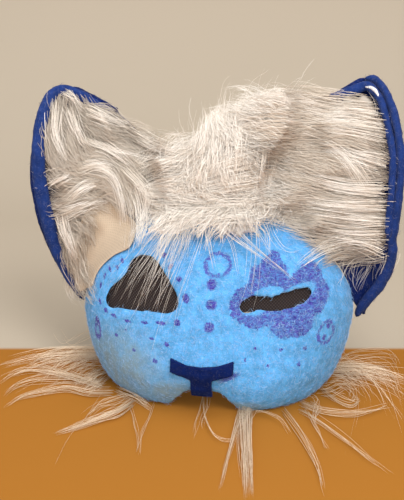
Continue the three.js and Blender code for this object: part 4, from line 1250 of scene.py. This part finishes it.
class MASK_OT_stage(bpy.types.Operator):
    """Sets up the camera, the floor and backdrop, and the soft light"""

    bl_idname = "mask.stage"
    bl_label = "Stage, light and camera"

    def execute(self, context):
        scene = context.scene
        eye, _, _, forward = camera_axes()
        data = bpy.data.cameras.new("camera")
        data.sensor_fit = "VERTICAL"
        data.lens = PHOTO["focal"] / PHOTO["tall"] * data.sensor_height
        data.clip_start = 0.01
        data.clip_end = 20
        camera = bpy.data.objects.new("camera", data)
        camera.location = eye
        camera.rotation_euler = Vector(forward).to_track_quat("-Z", "Y").to_euler()
        scene.collection.objects.link(camera)
        scene.camera = camera
        self.cove(math.radians(scene.mask_view.azimuth))
        for name, lamp in LAMPS.items():
            self.light(name, **lamp)
        world = bpy.data.worlds.new("soft_light")
        world.use_nodes = True
        world.node_tree.nodes["Background"].inputs["Color"].default_value = (*LAMPLIGHT, 1)
        world.node_tree.nodes["Background"].inputs["Strength"].default_value = SKY_STRENGTH
        scene.world = world
        scene.view_settings.view_transform = "Standard"
        return {"FINISHED"}

    def cove(self, turn, size=8, start=0.45, radius=0.35, steps=12, height=3.0):
        """A floor that rises into a backdrop in one sweep, square to the camera."""
        bpy.ops.object.select_all(action="DESELECT")
        bpy.ops.mesh.primitive_plane_add(size=size, location=(0, 0, 0))
        cove = bpy.context.object
        cove.name = "floor_and_backdrop"
        bpy.ops.object.mode_set(mode="EDIT")
        bpy.ops.mesh.bisect(plane_co=(0, start, 0), plane_no=(0, 1, 0), clear_outer=True)
        bpy.ops.object.mode_set(mode="OBJECT")
        shape = bmesh.new()
        shape.from_mesh(cove.data)
        row = [e for e in shape.edges if all(v.co.y > start - MM for v in e.verts)]
        for k in range(steps + 1):
            angle = math.pi / 2 * (k + 1) / steps
            made = bmesh.ops.extrude_edge_only(shape, edges=row)
            for vert in (g for g in made["geom"] if isinstance(g, bmesh.types.BMVert)):
                if k < steps:
                    vert.co.y = start + radius * math.sin(angle)
                    vert.co.z = radius * (1 - math.cos(angle))
                else:
                    vert.co.z = height
            row = [g for g in made["geom"] if isinstance(g, bmesh.types.BMEdge)]
        bmesh.ops.recalc_face_normals(shape, faces=shape.faces)
        bmesh.ops.rotate(shape, verts=shape.verts, cent=(0, 0, 0), matrix=Matrix.Rotation(turn, 3, "Z"))
        shape.to_mesh(cove.data)
        shape.free()
        smooth(cove)
        cove.data.materials.append(self.cove_material(turn))

    def cove_material(self, turn, edge=0.09, blur=3 * MM):
        """The floor's tone ends in a soft line just behind the mask, and the backdrop's goes on from it."""
        shader = Shader("pale_stage")
        place = shader.stretched(shader.place(), (1, 1, 1), (0, 0, -turn))
        back = shader.node("ShaderNodeSeparateXYZ", {0: place}).outputs[1]
        share = shader.ramp(back, edge - blur, edge + blur)
        base = shader.mix(share, tuple(colours().floor), tuple(colours().backdrop))
        return shader.set(base_color=base, roughness=0.9, specular_ior_level=0.1)

    def light(self, name, place, size, power):
        data = bpy.data.lights.new(name, "AREA")
        data.size = size
        data.energy = power
        data.color = LAMPLIGHT
        lamp = bpy.data.objects.new(name, data)
        lamp.location = place
        lamp.rotation_euler = (Vector(LAMPS_AIM) - Vector(place)).to_track_quat("-Z", "Y").to_euler()
        bpy.context.scene.collection.objects.link(lamp)


class MASK_OT_face(bpy.types.Operator):
    """Makes the felt face with its marker spots"""

    bl_idname = "mask.face"
    bl_label = "Felt face"

    def execute(self, context):
        face = felted("face", "felt_face", sizes().felt_grain, rounds=40, lump=sizes().lump, nap=0.5 * MM)
        declare(face, face_material(), "blue_felt", "face")
        low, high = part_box("face")
        hollow = ((low[0] + high[0]) / 2, high[1], (low[2] + high[2]) / 2)
        fibres = fibre_material("face_fibres", colours().felt, pale=0.3)
        loose = fuzz(face, "face", 11000, 3.2 * MM, fibres, "blue_felt", hollow)
        return {"FINISHED"}


class MASK_OT_nose(bpy.types.Operator):
    """Makes the felt nose"""

    bl_idname = "mask.nose"
    bl_label = "Felt nose"

    def execute(self, context):
        nose = felted("nose", "felt_nose", grain=0.55 * MM, rounds=4, lump=0.3 * MM, nap=0.2 * MM)
        felt = felt_material("nose_felt", colours().nose, pale=0.015, sheen=0.02)
        declare(nose, felt, "navy_felt", "nose")
        fibres = fibre_material("nose_fibres", colours().nose, pale=0.04)
        loose = fuzz(nose, "nose", 500, 2 * MM, fibres, "navy_felt")
        return {"FINISHED"}


class MASK_OT_eye_meshes(bpy.types.Operator):
    """Makes the woven mesh behind both eye holes"""

    bl_idname = "mask.eye_meshes"
    bl_label = "Eye meshes"

    def execute(self, context):
        material = mesh_material()
        for side, flat, area in (("left", (0.062, 0.042), 0.002), ("right", (0.054, 0.019), 0.00078)):
            mesh = merged_copy("eye_mesh_" + side, "woven_mesh_" + side)
            apply_modifier(mesh, "REMESH", mode="VOXEL", voxel_size=0.7 * MM)
            soften(mesh, 20)
            smooth(mesh)
            declare(mesh, material, "eye_mesh", "eye_mesh_" + side)
        return {"FINISHED"}


class MASK_OT_ears(bpy.types.Operator):
    """Makes the felt ears with their rolled hems and the bare backing beside the left one's fur"""

    bl_idname = "mask.ears"
    bl_label = "Felt ears"

    def execute(self, context):
        # The ear felt's colour is deep blue darkened as painted shade of the ears' hollows
        felt = felt_material("ear_felt", colours().navy_and_shade, pale=0.05, sheen=0.04)
        hem_felt = felt_material("hem_felt", colours().hem, pale=0.05, sheen=0.06)
        fibres = fibre_material("ear_fibres", colours().hem, pale=0.1)
        for node in ("ear_left", "ear_right"):
            ear = felted(node, "felt_" + node, sizes().felt_grain, rounds=30, lump=1.2 * MM, nap=0.5 * MM)
            declare(ear, felt, "navy_felt", node)
            loose = fuzz(ear, node, 2500, 3 * MM, fibres, "navy_felt")
        depths = Depths("ear_left", "ear_right")
        # Name, middle line, height over the ear, thickness, the ear, and the strip's flat size
        hems = (
            ("hem_left", LEFT_HEM, 1.6 * MM, 7.5 * MM, "ear_left", (0.0115, 0.21)),
            ("hem_right_outer", RIGHT_OUTER_HEM, 0.8 * MM, 6.5 * MM, "ear_right", (0.01, 0.18)),
            ("hem_right_inner", RIGHT_INNER_HEM, 3.0 * MM, 6.5 * MM, "ear_right", (0.01, 0.14)),
        )
        for name, rows, lift, thick, node, flat in hems:
            hem = rolled(name, depths, rows, lift, thick, hem_felt, node)
            loose = fuzz(hem, node, 700, 3 * MM, fibres, "navy_felt")
        white = felt_material("white_felt", WHITE_FELT, pale=0.3)
        sliver = rolled("white_sliver", depths, SLIVER, SLIVER_LIFT, SLIVER_THICK, white, "ear_right")
        self.bare_backing()
        return {"FINISHED"}

    def bare_backing(self, rows=24, columns=10, lift=1.4 * MM, proud=0.3 * MM, thickness=0.9 * MM):
        """The strip of bare cloth where the left ear's fur ends, made even over the locks behind it."""
        depths = Depths("ear_left", "ear_fur_left", "face")
        outer = smooth_path(BARE_BACKING["outer"], rows)
        inner = smooth_path(BARE_BACKING["inner"], rows)
        share = np.linspace(0, 1, columns)[None, :, None]
        points = depths.place(outer[:, None] * (1 - share) + inner[:, None] * share, lift)
        x, y, z = points[..., 0].ravel(), points[..., 1].ravel(), points[..., 2].ravel()
        terms = np.stack([np.ones(len(x)), x, z, x * x, x * z, z * z], 1)
        even = terms @ np.linalg.lstsq(terms, y, rcond=None)[0]
        points[..., 1] = np.minimum(even.reshape(rows, columns), points[..., 1]) - proud
        cloth = grid_mesh("bare_backing", points)
        apply_modifier(cloth, "SOLIDIFY", thickness=thickness, offset=0)
        apply_modifier(cloth, "SUBSURF", levels=1, render_levels=1)
        smooth(cloth)
        declare(cloth, backing_material(), "white_fur", "ear_fur_left")


class MASK_OT_fur(bpy.types.Operator):
    """Grows the long fur in the ears, on the crown and over the forehead"""

    bl_idname = "mask.fur"
    bl_label = "Long fur"

    def execute(self, context):
        depths = Depths(*FRONT_NODES)
        palette = colours()
        white = strand_material("crown_fur", palette.fur_root, palette.fur)
        # The ears' coats take a darker copy of the white fur, painted shade inside the ears
        shaded = strand_material("ear_fur", palette.shaded_ear_root, palette.shaded_ear_tip)
        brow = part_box("face")[1][2] - BROW_DROP
        ear, crown = sizes().coat, sizes().crown
        # Node, guides, outline of the roots, material, hairs, height, kind and lowest level
        coats = (
            ("ear_fur_left", LEFT_EAR_GUIDES, LEFT_EAR_ROOTS, shaded, ear, 7 * MM, EAR_COAT, None),
            ("ear_fur_right", RIGHT_EAR_GUIDES, RIGHT_EAR_ROOTS, shaded, ear, 8 * MM, EAR_COAT, None),
            ("crown_fur", CROWN_GUIDES, CROWN_ROOTS, white, crown, 12 * MM, CROWN_COAT, brow),
        )
        for node, guides, roots, material, hairs, lift, kind, lowest in coats:
            hair = coat(node, depths, guides, roots, hairs, lift, **kind)
            fur = joined(node.replace("fur", "hair"), [hair, fur_pad(node, lowest)])
            declare(fur, material, "white_fur", node)
        # Name, locks, material, height, steps, thickness, sides, least share of the height and, where it
        # isn't the usual, how much they curl
        rows = (
            ("fringe", FRINGE, white, 8 * MM, 12, 1.0, 3, 0.3),
            ("eye_hairs", EYE_HAIRS, white, 6 * MM, 12, 0.6, 3, 0.3),
            ("ear_locks", EAR_LOCKS, white, 11 * MM, 12, 1.0, 2, 0.7, 2.0),
            ("crown_locks", CROWN_LOCKS, white, 12 * MM, 12, 1.0, 2, 0.7, 2.0),
            ("wisps", WISPS, white, 10 * MM, 10, 0.7, 3, 0.2),
            ("hem_hairs", HEM_LOCKS, white, 3 * MM, 8, 0.8, 3, 0.2),
        )
        for name, locks, material, *shape in rows:
            declare(tufts(name, locks, depths.place, *shape), material, "white_fur")
        return {"FINISHED"}


class MASK_OT_foot_fur(bpy.types.Operator):
    """Lays the fur that lies on the surface round the mask's foot"""

    bl_idname = "mask.foot_fur"
    bl_label = "Fur round the foot"

    def execute(self, context):
        palette = colours()
        material = strand_material("foot_fur", palette.foot_root, palette.foot_tip)
        cheeks = (
            ("cheek_fur_left", -1, LEFT_CHEEK_LOCKS, LEFT_FOOT_LOCKS),
            ("cheek_fur_right", 1, RIGHT_CHEEK_LOCKS, RIGHT_FOOT_LOCKS),
        )
        for node, side, laid, strands in cheeks:
            parts = [
                laid_locks(node, side, laid),
                tufts(node, strands, floor_place, 6 * MM, 16, 0.9, 3, 0.1, 1.5, 0.75),
            ]
            declare(joined(node.replace("fur", "hair"), parts), material, "white_fur", node)
        chin = tufts("chin_hair", CHIN_LOCKS, floor_place, 5 * MM, 14, 0.8, 3, 0.1, 1.2, 0.8)
        declare(chin, material, "white_fur", "chin_fur")
        return {"FINISHED"}


class MASK_PT_panel(bpy.types.Panel):
    """Lists the mask's steps and sizes"""

    bl_label = "Cat mask"
    bl_space_type = "VIEW_3D"
    bl_region_type = "UI"
    bl_category = "Cat mask"

    def draw(self, context):
        for step in STEPS:
            self.layout.operator(step.bl_idname)
        for group in (context.scene.mask_colours, context.scene.mask_sizes, context.scene.mask_view):
            for key in group.__annotations__:
                self.layout.prop(group, key)


STEPS = (
    MASK_OT_stage,
    MASK_OT_face,
    MASK_OT_nose,
    MASK_OT_eye_meshes,
    MASK_OT_ears,
    MASK_OT_fur,
    MASK_OT_foot_fur,
)
GROUPS = (MaskColours, MaskSizes, MaskView)


def register():
    for kind in (*GROUPS, *STEPS, MASK_PT_panel):
        bpy.utils.register_class(kind)
    bpy.types.Scene.mask_colours = PointerProperty(type=MaskColours)
    bpy.types.Scene.mask_sizes = PointerProperty(type=MaskSizes)
    bpy.types.Scene.mask_view = PointerProperty(type=MaskView)


def unregister():
    del bpy.types.Scene.mask_colours, bpy.types.Scene.mask_sizes, bpy.types.Scene.mask_view
    for kind in reversed((*GROUPS, *STEPS, MASK_PT_panel)):
        bpy.utils.unregister_class(kind)


def main():
    register()
    for step in STEPS:
        group, name = step.bl_idname.split(".")
        getattr(getattr(bpy.ops, group), name)()


if __name__ == "__main__":
    main()
